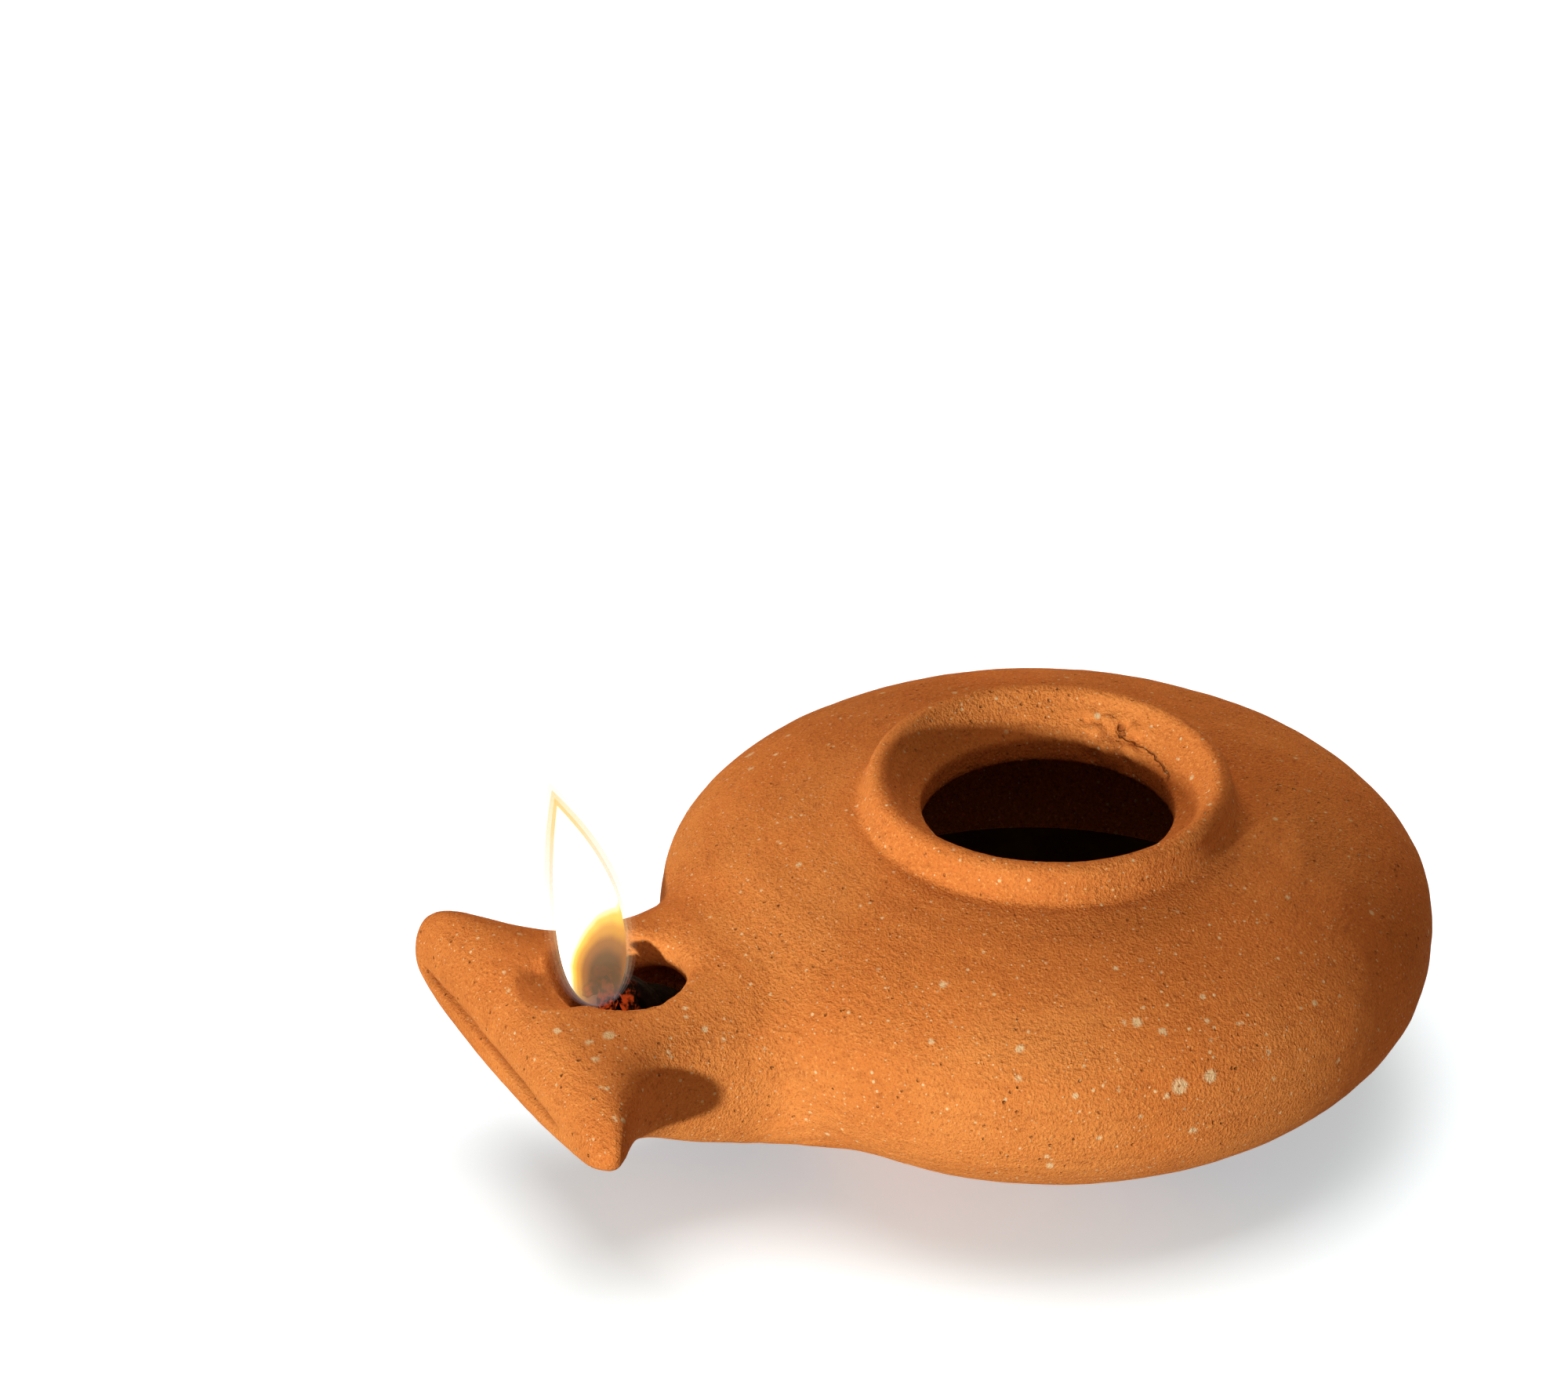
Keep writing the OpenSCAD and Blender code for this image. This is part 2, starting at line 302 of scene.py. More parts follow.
class NodeSheet:
    """A material's node tree with short calls to add and join nodes."""

    def __init__(self, name: str) -> None:
        """Starts a material with an output and its piece's own coordinates.

        Args:
            name: the material's name.
        """
        self.material = bpy.data.materials.new(name)
        self.material.use_nodes = True
        self.tree = self.material.node_tree
        self.tree.nodes.clear()
        self.output = self.tree.nodes.new("ShaderNodeOutputMaterial")
        self.place = self.add("ShaderNodeTexCoord").outputs["Object"]

    def add(self, kind: str, **settings: object) -> bpy.types.Node:
        """Adds a node.

        Args:
            kind: the node's type.
            **settings: its properties.

        Returns:
            The node.
        """
        node = self.tree.nodes.new(kind)
        for key, value in settings.items():
            setattr(node, key, value)
        return node

    def join(self, source: Socket, target: Socket) -> None:
        """Links an output to an input."""
        self.tree.links.new(source, target)

    def feed(self, target: Socket, value: object) -> None:
        """Links a socket, or sets a plain value, on an input.

        Args:
            target: the input.
            value: an output socket, a number or a tuple.
        """
        if isinstance(value, bpy.types.NodeSocket):
            self.join(value, target)
        else:
            target.default_value = value

    def principled(self, roughness: float, specular: float) -> bpy.types.Node:
        """A Principled shader on the output.

        Args:
            roughness: its roughness.
            specular: its specular level.

        Returns:
            The shader.
        """
        shader = self.add("ShaderNodeBsdfPrincipled")
        shader.inputs["Roughness"].default_value = roughness
        shader.inputs["Specular IOR Level"].default_value = specular
        self.join(shader.outputs["BSDF"], self.output.inputs["Surface"])
        return shader

    def math(self, operation: str, *values: object, clamp: bool = False) -> Socket:
        """A Math node's result.

        Args:
            operation: what it does.
            *values: its inputs.
            clamp: whether its result is kept between 0 and 1.

        Returns:
            The result.
        """
        node = self.add("ShaderNodeMath", operation=operation, use_clamp=clamp)
        for socket, value in zip(node.inputs, values):
            self.feed(socket, value)
        return node.outputs[0]

    def plus(self, first: object, second: object) -> Socket:
        """The sum of two values."""
        return self.math("ADD", first, second)

    def minus(self, first: object, second: object) -> Socket:
        """The first value less the second."""
        return self.math("SUBTRACT", first, second)

    def times(self, first: object, second: object) -> Socket:
        """The product of two values."""
        return self.math("MULTIPLY", first, second)

    def vector(self, operation: str, *values: object, answer: str = "Vector") -> Socket:
        """A Vector Math node's result.

        Args:
            operation: what it does.
            *values: its inputs.
            answer: Vector, or Value for a length, a distance or a dot product.

        Returns:
            The result.
        """
        node = self.add("ShaderNodeVectorMath", operation=operation)
        for socket, value in zip(node.inputs, values):
            self.feed(socket, value)
        return node.outputs[answer]

    def scaled(self, vector: Socket, factor: float) -> Socket:
        """A vector made longer or shorter by a factor."""
        longer = self.vector("SCALE", vector)
        longer.node.inputs["Scale"].default_value = factor
        return longer

    def parts(self, vector: Socket) -> Sequence[Socket]:
        """The x, y and z of a vector."""
        split = self.add("ShaderNodeSeparateXYZ")
        self.join(vector, split.inputs[0])
        return split.outputs

    def attribute(self, name: str) -> Socket:
        """The value of a vertex attribute."""
        return self.add("ShaderNodeAttribute", attribute_name=name).outputs["Fac"]

    def noise(self, scale: float, detail: float, roughness: float) -> Socket:
        """A Noise Texture's value.

        Args:
            scale: cells per metre.
            detail: the octaves.
            roughness: how strong the finer octaves are.

        Returns:
            The value, about 0.5.
        """
        node = self.add("ShaderNodeTexNoise")
        for key, number in (("Scale", scale), ("Detail", detail), ("Roughness", roughness)):
            node.inputs[key].default_value = number
        self.join(self.place, node.inputs["Vector"])
        return node.outputs["Fac"]

    def dots(self, scale: float, draw: int, chosen: Point2, reach: Point2,
             place: Optional[Socket] = None) -> Socket:
        """Dots in some cells of a cell pattern.

        Args:
            scale: cells per metre.
            draw: which of a cell's three random numbers chooses the cells that hold a dot.
            chosen: the random numbers where dots start to show and show fully.
            reach: how far a dot is full and where it ends, in cells.
            place: the coordinates, if not the piece's own.

        Returns:
            The dots as a mask.
        """
        cell = self.add("ShaderNodeTexVoronoi")
        cell.inputs["Scale"].default_value = scale
        self.join(place or self.place, cell.inputs["Vector"])
        drawn = self.add("ShaderNodeSeparateColor")
        self.join(cell.outputs["Color"], drawn.inputs[0])
        near = self.remap(cell.outputs["Distance"], *reach, 1.0, 0.0)
        return self.times(near, self.remap(drawn.outputs[draw], *chosen))

    def remap(self, value: object, low: float, high: float, to_low: float = 0.0,
              to_high: float = 1.0) -> Socket:
        """A smooth step of a value from one range to another.

        Args:
            value: the value.
            low: where the step starts.
            high: where it ends.
            to_low: the result before the step.
            to_high: the result after it.

        Returns:
            The result.
        """
        node = self.add("ShaderNodeMapRange", interpolation_type="SMOOTHSTEP", clamp=True)
        self.feed(node.inputs["Value"], value)
        for key, number in (("From Min", low), ("From Max", high),
                            ("To Min", to_low), ("To Max", to_high)):
            node.inputs[key].default_value = number
        return node.outputs["Result"]

    def mix(self, share: object, first: object, second: object) -> Socket:
        """A mix of two colours.

        Args:
            share: how much of the second there is, 0 to 1.
            first: the first colour.
            second: the second colour.

        Returns:
            The mixed colour.
        """
        node = self.add("ShaderNodeMix", data_type="RGBA", blend_type="MIX")
        self.feed(node.inputs[0], share)
        for socket, value in ((node.inputs[6], first), (node.inputs[7], second)):
            self.feed(socket, (*value, 1.0) if isinstance(value, tuple) else value)
        return node.outputs[2]

    def bump(self, height: Socket, depth_mm: float, under: Optional[Socket] = None) -> Socket:
        """A Bump node's normal.

        Args:
            height: the relief, 0 to 1.
            depth_mm: how deep a relief of 1 is, in millimetres.
            under: the normal of coarser relief below it.

        Returns:
            The bumped normal.
        """
        node = self.add("ShaderNodeBump")
        node.inputs["Strength"].default_value = 1.0
        node.inputs["Distance"].default_value = depth_mm * MM
        self.join(height, node.inputs["Height"])
        if under is not None:
            self.join(under, node.inputs["Normal"])
        return node.outputs["Normal"]


@dataclass(frozen=True)
class FiredClay:
    """Matt fired earthenware with throwing lines, grit, pits and white lime specks.

    It reads the vertex attributes "inside", the inner wall, near black for its oil soak together
    with painted shade in the hollows, the crease's painted shadow, a dark line along the crease,
    "torn", the reddish skin of the worked neck, and "lime", the pale blotches. A gash holds its x,
    y and width in millimetres.
    """

    name: str = "fired_clay"
    pale: Colour = (0.58, 0.205, 0.052)
    ruddy: Colour = (0.48, 0.138, 0.030)
    dusk: Colour = (0.26, 0.066, 0.014)
    torn_red: Colour = (0.38, 0.090, 0.018)
    sandy: Colour = (0.70, 0.30, 0.085)
    lime: Colour = (0.62, 0.47, 0.28)
    # Near black: the inner wall's oil soak together with painted shade in the hollows.
    soaked: Colour = (0.012, 0.006, 0.003)
    roughness: float = 0.92
    specular: float = 0.05
    relief: float = 1.0
    usual_radius: float = 0.030
    crack_radius: float = 0.0124
    crack_bearing: float = 14.0
    gashes: tuple[tuple[float, float, float], ...] = (
        (-6.6, 11.0, 1.0), (-7.2, 11.3, 0.9), (-8.4, 10.5, 0.8), (-9.6, 9.6, 0.7),
        (-10.2, 8.8, 0.6))
    gash_height: float = 29.3

    def build(self) -> bpy.types.Material:
        """Makes the clay material.

        Returns:
            The material.
        """
        sheet = NodeSheet(self.name)
        shader = sheet.principled(self.roughness, self.specular)
        radius = sheet.vector("LENGTH", self.level(sheet), answer="Value")
        streaks = self.dragged(sheet, radius, 520, 0.05, 0.55)
        grain = self.dragged(sheet, radius, 1350, 0.45, 0.62)
        sand = sheet.noise(3600, 3, 0.65)
        torn = sheet.attribute("torn")
        rough = self.rough_share(sheet)
        pits = self.pits(sheet, rough)
        crack = self.dish_crack(sheet, radius)

        clouds = sheet.remap(sheet.noise(60, 3, 0.5), 0.36, 0.64, 0.10, 0.75)
        colour = sheet.mix(clouds, self.ruddy, self.pale)
        for share, over in (
                (sheet.remap(streaks, 0.45, 0.66, 0.0, 0.35), self.ruddy),
                (sheet.times(torn, 0.45), self.torn_red),
                (sheet.remap(grain, 0.48, 0.28, 0.0, 0.35), self.dusk),
                (sheet.remap(sand, 0.47, 0.30, 0.0, 0.55), self.dusk),
                (sheet.remap(sand, 0.54, 0.72, 0.0, 0.60), self.sandy),
                # Painted shade: the pits are darkened in colour as well as sunk in relief.
                (sheet.times(pits, 0.30), self.dusk),
                # Painted shade: the crack and its gashes are darkened in colour as well as sunk in
                # relief.
                (sheet.times(crack, 0.75), self.dusk),
                (self.specks(sheet), self.lime),
                # The pale lime blotches, and painted shade in the hearts of the widest.
                *self.blotches(sheet),
                # Painted shadow: a dark line of colour along the crease, where its upper lip would
                # shade it.
                (sheet.attribute("crease_shade"), self.dusk),
                # The inner wall's oil soak together with painted shade: near black below the
                # throat's edge and down in the wick hole.
                (sheet.attribute("inside"), self.soaked)):
            colour = sheet.mix(share, colour, over)
        sheet.join(colour, shader.inputs["Base Color"])

        coarse = sheet.plus(sheet.remap(rough, 0.0, 1.0, 0.25, 1.0), sheet.times(torn, 0.6))
        normal = None
        for height, depth in ((streaks, 0.07), (sheet.times(grain, coarse), 0.24),
                              (sheet.times(sand, coarse), 0.32), (sheet.minus(1.0, pits), 0.28),
                              (sheet.minus(1.0, crack), 0.35)):
            normal = sheet.bump(height, depth * self.relief, normal)
        sheet.join(normal, shader.inputs["Normal"])
        return sheet.material

    def level(self, sheet: NodeSheet) -> Socket:
        """The place without its height."""
        return sheet.vector("MULTIPLY", sheet.place, (1.0, 1.0, 0.0))

    def dragged(self, sheet: NodeSheet, radius: Socket, scale: float, drag: float,
                roughness: float) -> Socket:
        """Noise that is drawn out round the wheel's axis, as the potter's hands leave it.

        Args:
            sheet: the material being made.
            radius: the distance from the axis.
            scale: cells per metre across the marks.
            drag: how much coarser the marks are along the wheel's turn.
            roughness: the noise's roughness.

        Returns:
            The noise's value.
        """
        around = sheet.scaled(sheet.vector("NORMALIZE", self.level(sheet)),
                              self.usual_radius * scale * drag)
        height = sheet.vector("MULTIPLY", sheet.place, (0.0, 0.0, scale))
        node = sheet.add("ShaderNodeTexNoise", noise_dimensions="4D")
        for key, number in (("Scale", 1.0), ("Detail", 4.0), ("Roughness", roughness)):
            node.inputs[key].default_value = number
        sheet.join(sheet.vector("ADD", around, height), node.inputs["Vector"])
        sheet.join(sheet.times(radius, scale), node.inputs["W"])
        return node.outputs["Fac"]

    def rough_share(self, sheet: NodeSheet) -> Socket:
        """How coarse the skin is: coarse on the shoulder and in patches, smoother on the belly.

        Args:
            sheet: the material being made.

        Returns:
            The coarseness, 0 to 1.
        """
        height = sheet.remap(sheet.parts(sheet.place)[2], 0.009, 0.018, 0.15, 0.75)
        patches = sheet.remap(sheet.noise(48, 3, 0.55), 0.40, 0.62, -0.25, 0.40)
        return sheet.math("ADD", height, patches, clamp=True)

    def pits(self, sheet: NodeSheet, rough: Socket) -> Socket:
        """Small torn pits where grit was dragged out of the wet clay.

        Args:
            sheet: the material being made.
            rough: how coarse the skin is, 0 to 1.

        Returns:
            The pits as a mask.
        """
        swirl = sheet.add("ShaderNodeTexNoise")
        swirl.inputs["Scale"].default_value = 1500
        sheet.join(sheet.place, swirl.inputs["Vector"])
        warped = sheet.vector("ADD", sheet.place, sheet.scaled(swirl.outputs["Color"], 0.0005))
        return sheet.times(sheet.dots(1300, 0, (0.78, 0.84), (0.06, 0.24), warped), rough)

    def dish_crack(self, sheet: NodeSheet, radius: Socket) -> Socket:
        """The drying crack that follows part of the dish inside the ring, and its gashes.

        Args:
            sheet: the material being made.
            radius: the distance from the axis.

        Returns:
            The crack as a mask.
        """
        wander = sheet.times(sheet.minus(sheet.noise(420, 4, 0.6), 0.5), 0.0011)
        along, ahead = (self.toward(sheet, bearing, radius)
                        for bearing in (self.crack_bearing, self.crack_bearing + 90))
        line = sheet.minus(self.crack_radius, sheet.times(along, 0.0014))
        offset = sheet.math("ABSOLUTE", sheet.minus(sheet.plus(radius, wander), line))
        crack = sheet.times(sheet.remap(offset, 0.00002, 0.00011, 1.0, 0.0),
                            sheet.remap(ahead, 0.935, 0.960))
        for x, y, width in self.gashes:
            away = sheet.vector("DISTANCE", sheet.place,
                                (x * MM, y * MM, self.gash_height * MM), answer="Value")
            gash = sheet.remap(sheet.plus(away, sheet.times(wander, 0.8)),
                               0.25 * width * MM, 0.6 * width * MM, 1.0, 0.0)
            crack = sheet.math("MAXIMUM", crack, gash)
        return crack

    def toward(self, sheet: NodeSheet, bearing: float, radius: Socket) -> Socket:
        """The cosine between a place's bearing and a given one.

        Args:
            sheet: the material being made.
            bearing: the given bearing, in degrees.
            radius: the distance from the axis.

        Returns:
            The cosine.
        """
        turn = math.radians(bearing)
        dot = sheet.vector("DOT_PRODUCT", sheet.place, (math.cos(turn), math.sin(turn), 0.0),
                           answer="Value")
        return sheet.math("DIVIDE", dot, sheet.math("MAXIMUM", radius, 0.001))

    def specks(self, sheet: NodeSheet) -> Socket:
        """Small white lime specks of several sizes.

        Args:
            sheet: the material being made.

        Returns:
            The specks as a mask.
        """
        total = 0.0
        for scale, rarity, size in ((380, 0.62, 0.15), (900, 0.66, 0.19), (1900, 0.64, 0.22)):
            specks = sheet.dots(scale, 1, (rarity, rarity + 0.02), (size * 0.4, size))
            total = sheet.math("MAXIMUM", specks, total)
        return sheet.times(total, 0.75)

    def blotches(self, sheet: NodeSheet) -> tuple[tuple[Socket, Colour], ...]:
        """The pale, frayed lime blotches and the painted shade in the hearts of the widest.

        Args:
            sheet: the material being made.

        Returns:
            The mask and the colour of each.
        """
        blotch = sheet.attribute("lime")
        uneven = sheet.times(sheet.minus(sheet.noise(2600, 3, 0.6), 0.5), 1.1)
        frayed = sheet.plus(sheet.math("MINIMUM", blotch, 1.0), uneven)
        cream = sheet.times(sheet.remap(frayed, 0.30, 1.00, 0.0, 0.70),
                            sheet.remap(blotch, 0.05, 0.3))
        # Painted shade in the heart, standing in for the hole where the grit fell out.
        heart = sheet.remap(sheet.plus(blotch, uneven), 1.45, 1.85, 0.0, 0.8)
        return (cream, self.lime), (heart, self.dusk)


@dataclass(frozen=True)
class LampOil:
    """Dark olive oil that fills the bowl."""

    name: str = "lamp_oil"
    deep: Colour = (0.035, 0.022, 0.004)
    thin: Colour = (0.085, 0.055, 0.008)

    def build(self) -> bpy.types.Material:
        """Makes the oil material.

        Returns:
            The material.
        """
        sheet = NodeSheet(self.name)
        shader = sheet.principled(0.06, 0.5)
        shader.inputs["IOR"].default_value = 1.47
        colour = sheet.mix(sheet.remap(sheet.noise(120, 3, 0.5), 0.35, 0.7), self.deep, self.thin)
        sheet.join(colour, shader.inputs["Base Color"])
        return sheet.material


@dataclass(frozen=True)
class CharredLinen:
    """Oil-soaked flax strands that are charred, with embers, at the burning end.

    The vertex attribute "burn" runs from 0 along the wick to 1 at its tip.
    """

    name: str = "wick_linen"
    soaked: Colour = (0.16, 0.095, 0.036)
    pale: Colour = (0.30, 0.21, 0.10)
    char: Colour = (0.010, 0.006, 0.004)
    ember: Colour = (1.0, 0.10, 0.015)
    glow: float = 0.38

    def build(self) -> bpy.types.Material:
        """Makes the wick material.

        Returns:
            The material.
        """
        sheet = NodeSheet(self.name)
        shader = sheet.principled(0.85, 0.15)
        burn = sheet.attribute("burn")
        fibre = sheet.noise(1500, 5, 0.7)
        colour = sheet.mix(sheet.remap(fibre, 0.35, 0.68), self.soaked, self.pale)
        colour = sheet.mix(sheet.remap(burn, 0.0, 0.30), colour, self.char)
        sheet.join(colour, shader.inputs["Base Color"])
        coals = sheet.times(sheet.remap(sheet.noise(900, 3, 0.6), 0.46, 0.62),
                            sheet.remap(burn, 0.78, 0.95))
        shader.inputs["Emission Color"].default_value = (*self.ember, 1.0)
        sheet.join(sheet.times(coals, self.glow), shader.inputs["Emission Strength"])
        sheet.join(sheet.bump(fibre, 0.2), shader.inputs["Normal"])
        return sheet.material


@dataclass(frozen=True)
class BurningGas:
    """One shell of a flame: glowing gas, coloured and thinned by place.

    A stop holds a place, a colour and how solid the gas looks there. The place is a share of the
    flame's height, or, with a heart, the distance from the heart's middle in heart radii. The
    heart is the unburnt gas round the wick, painted nearly black and nearly solid as painted
    shade:
    it stands in for the dark wick and the shadowed wick hole seen through the flame. It holds its
    middle across the flame and up it, and its half width and half height, in millimetres. "Across"
    is along the bearing, in degrees.
    """

    name: str
    seat: Point3
    height: float
    stops: tuple[tuple[float, Colour, float], ...]
    strength: float
    heart: tuple[float, ...] = ()
    bearing: float = 63.0
    wavering: float = 0.22
    foot_share: float = 0.25

    def build(self) -> bpy.types.Material:
        """Makes the shell's material.

        Returns:
            The material.
        """
        sheet = NodeSheet(self.name)
        x, y, z = sheet.parts(sheet.vector("SUBTRACT", sheet.place, self.seat))
        share = sheet.math("DIVIDE", z, self.height)
        where = self.from_heart(sheet, x, y, z) if self.heart else share
        waver = sheet.times(sheet.minus(sheet.noise(210, 3, 0.5), 0.5), self.wavering)
        ramp = sheet.add("ShaderNodeValToRGB")
        table = ramp.color_ramp
        table.interpolation = "EASE"
        table.elements.remove(table.elements[1])
        for number, (place, colour, solid) in enumerate(self.stops):
            stop = table.elements[0] if number == 0 else table.elements.new(place)
            stop.position = place
            stop.color = (*colour, solid)
        sheet.join(sheet.plus(where, waver), ramp.inputs[0])
        glow = sheet.add("ShaderNodeEmission")
        glow.inputs["Strength"].default_value = self.strength
        sheet.join(ramp.outputs[0], glow.inputs["Color"])
        clear = sheet.add("ShaderNodeBsdfTransparent")
        blend = sheet.add("ShaderNodeMixShader")
        thin = sheet.remap(share, -0.04, 0.16, self.foot_share if self.heart else 1.0, 1.0)
        for number, source in enumerate((sheet.times(ramp.outputs[1], thin), clear.outputs[0],
                                         glow.outputs[0])):
            sheet.join(source, blend.inputs[number])
        sheet.join(blend.outputs[0], sheet.output.inputs["Surface"])
        return sheet.material

    def from_heart(self, sheet: NodeSheet, x: Socket, y: Socket, z: Socket) -> Socket:
        """The distance from the heart's middle.

        Args:
            sheet: the material being made.
            x: the place's x from the flame's seat.
            y: its y.
            z: its height.

        Returns:
            The distance, in heart radii.
        """
        aside, above, half_width, half_height = (value * MM for value in self.heart)
        turn = math.radians(self.bearing)
        across = sheet.plus(sheet.times(x, math.cos(turn)), sheet.times(y, math.sin(turn)))
        along = sheet.math("DIVIDE", sheet.minus(across, aside), half_width)
        aloft = sheet.math("DIVIDE", sheet.minus(z, above), half_height)
        return sheet.math("SQRT", sheet.plus(sheet.times(along, along), sheet.times(aloft, aloft)))


@dataclass(frozen=True)
class PaleFloor:
    """A plain pale studio floor."""

    name: str = "studio_floor"
    white: Colour = (0.78, 0.88, 0.96)
    sheen: Colour = (0.72, 0.90, 1.0)
    lift: float = 0.46

    def build(self) -> bpy.types.Material:
        """Makes the floor material.

        Returns:
            The material.
        """
        sheet = NodeSheet(self.name)
        shader = sheet.principled(0.9, 0.1)
        shader.inputs["Base Color"].default_value = (*self.white, 1.0)
        shader.inputs["Emission Color"].default_value = (*self.sheen, 1.0)
        shader.inputs["Emission Strength"].default_value = self.lift
        return sheet.material


def dress(piece: Piece, material: bpy.types.Material) -> None:
    """Gives a piece one material in place of any it has."""
    piece.data.materials.clear()
    piece.data.materials.append(material)


def install(piece: Piece, body: Body, slot: Slot, *nodes: str) -> None:
    """Puts a finished piece on its body and in place of its CAD nodes.

    Args:
        piece: the finished piece.
        body: the body it rides on.
        slot: the record's material slot; not used.
        nodes: the CAD nodes that it stands for.
    """
    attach(piece, body.value)
    if nodes:
        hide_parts(*nodes)
    LOG.info("%s: %d faces on %s", piece.name, len(piece.data.polygons), body.value)


# ---------------------------------------------------------------- the lamp's clay

@dataclass
class ThrownShape:
    """The wheel-thrown body's profile, in millimetres."""

    body_r: float
    crest_z: float
    equator_z: float = 17.0
    base_r: float = 17.0
    wall: float = 3.0
    hole_r: float = 11.4
    crest_r: float = 15.4
    crest_round: float = 1.1
    ring_foot_r: float = 17.2
    spin_steps: int = 256

    @property
    def ring_foot_z(self) -> float:
        """Height where the shoulder meets the ring's foot."""
        return self.crest_z - 3.2

    @property
    def throat_z(self) -> float:
        """Height of the filling hole's upper edge."""
        return self.ring_foot_z - 0.2

    @property
    def bowl(self) -> list[Point2]:
        """The bowl's outer curve, from the base's edge to the widest circle."""
        return [(self.base_r, 0.0), (self.body_r + 0.4, 8.7),
                (self.body_r, self.equator_z - 4.5), (self.body_r, self.equator_z)]

    @property
    def shoulder(self) -> list[Point2]:
        """The shoulder's outer curve, from the widest circle to the ring's foot."""
        return [(self.body_r, self.equator_z), (self.body_r, self.equator_z + 4.9),
                (30.5, self.equator_z + 9.5), (self.ring_foot_r, self.ring_foot_z)]

    def outer(self, grow: float = 0.0) -> list[Point2]:
        """The outer face from the axis at the base to the ring's foot.

        Args:
            grow: how far outside the true face the path runs.

        Returns:
            The path.
        """
        return ([(0.0, -grow)] + bezier_path(self.bowl, 44, -grow)
                + bezier_path(self.shoulder, 44, -grow)[1:])

    def ring(self) -> list[Point2]:
        """The ring: up its outer side, over the crest and down the dish to the throat.

        Returns:
            The path.
        """
        crest = [(self.crest_r + self.crest_round * math.cos(turn),
                  self.crest_z - self.crest_round + self.crest_round * math.sin(turn))
                 for turn in map(math.radians, range(-20, 161, 15))]
        start = crest[-1]
        dish = bezier_path([start, (start[0] - 0.9, start[1] - 1.1),
                            (self.hole_r + 1.3, self.throat_z + 0.7),
                            (self.hole_r, self.throat_z)], 12)
        return crest + dish[1:]

    def solid(self) -> Mesh:
        """The body's outer form as one solid, closed over at the ring."""
        return spun(self.outer() + self.ring() + [(0.0, self.throat_z)], self.spin_steps)

    def envelope(self, grow: float) -> Mesh:
        """The body's outer form without its ring, moved outwards."""
        return spun(self.outer(grow) + [(0.0, self.ring_foot_z + grow)], self.spin_steps)

    def hollow(self) -> Mesh:
        """The space inside the body, with the throat above it.

        Returns:
            The closed mesh of that space.
        """
        shoulder = bezier_path(self.shoulder, 30, self.wall)
        bowl = [p for p in bezier_path(self.bowl, 30, self.wall) if p[1] > self.wall + 0.05]
        path = ([(0.0, self.wall), (self.base_r - self.wall, self.wall)] + bowl + shoulder[1:]
                + [(self.hole_r, self.throat_z - 2.4), (self.hole_r, self.throat_z),
                   (self.hole_r, self.throat_z + 3.0), (0.0, self.throat_z + 3.0)])
        return spun(path, self.spin_steps // 2)


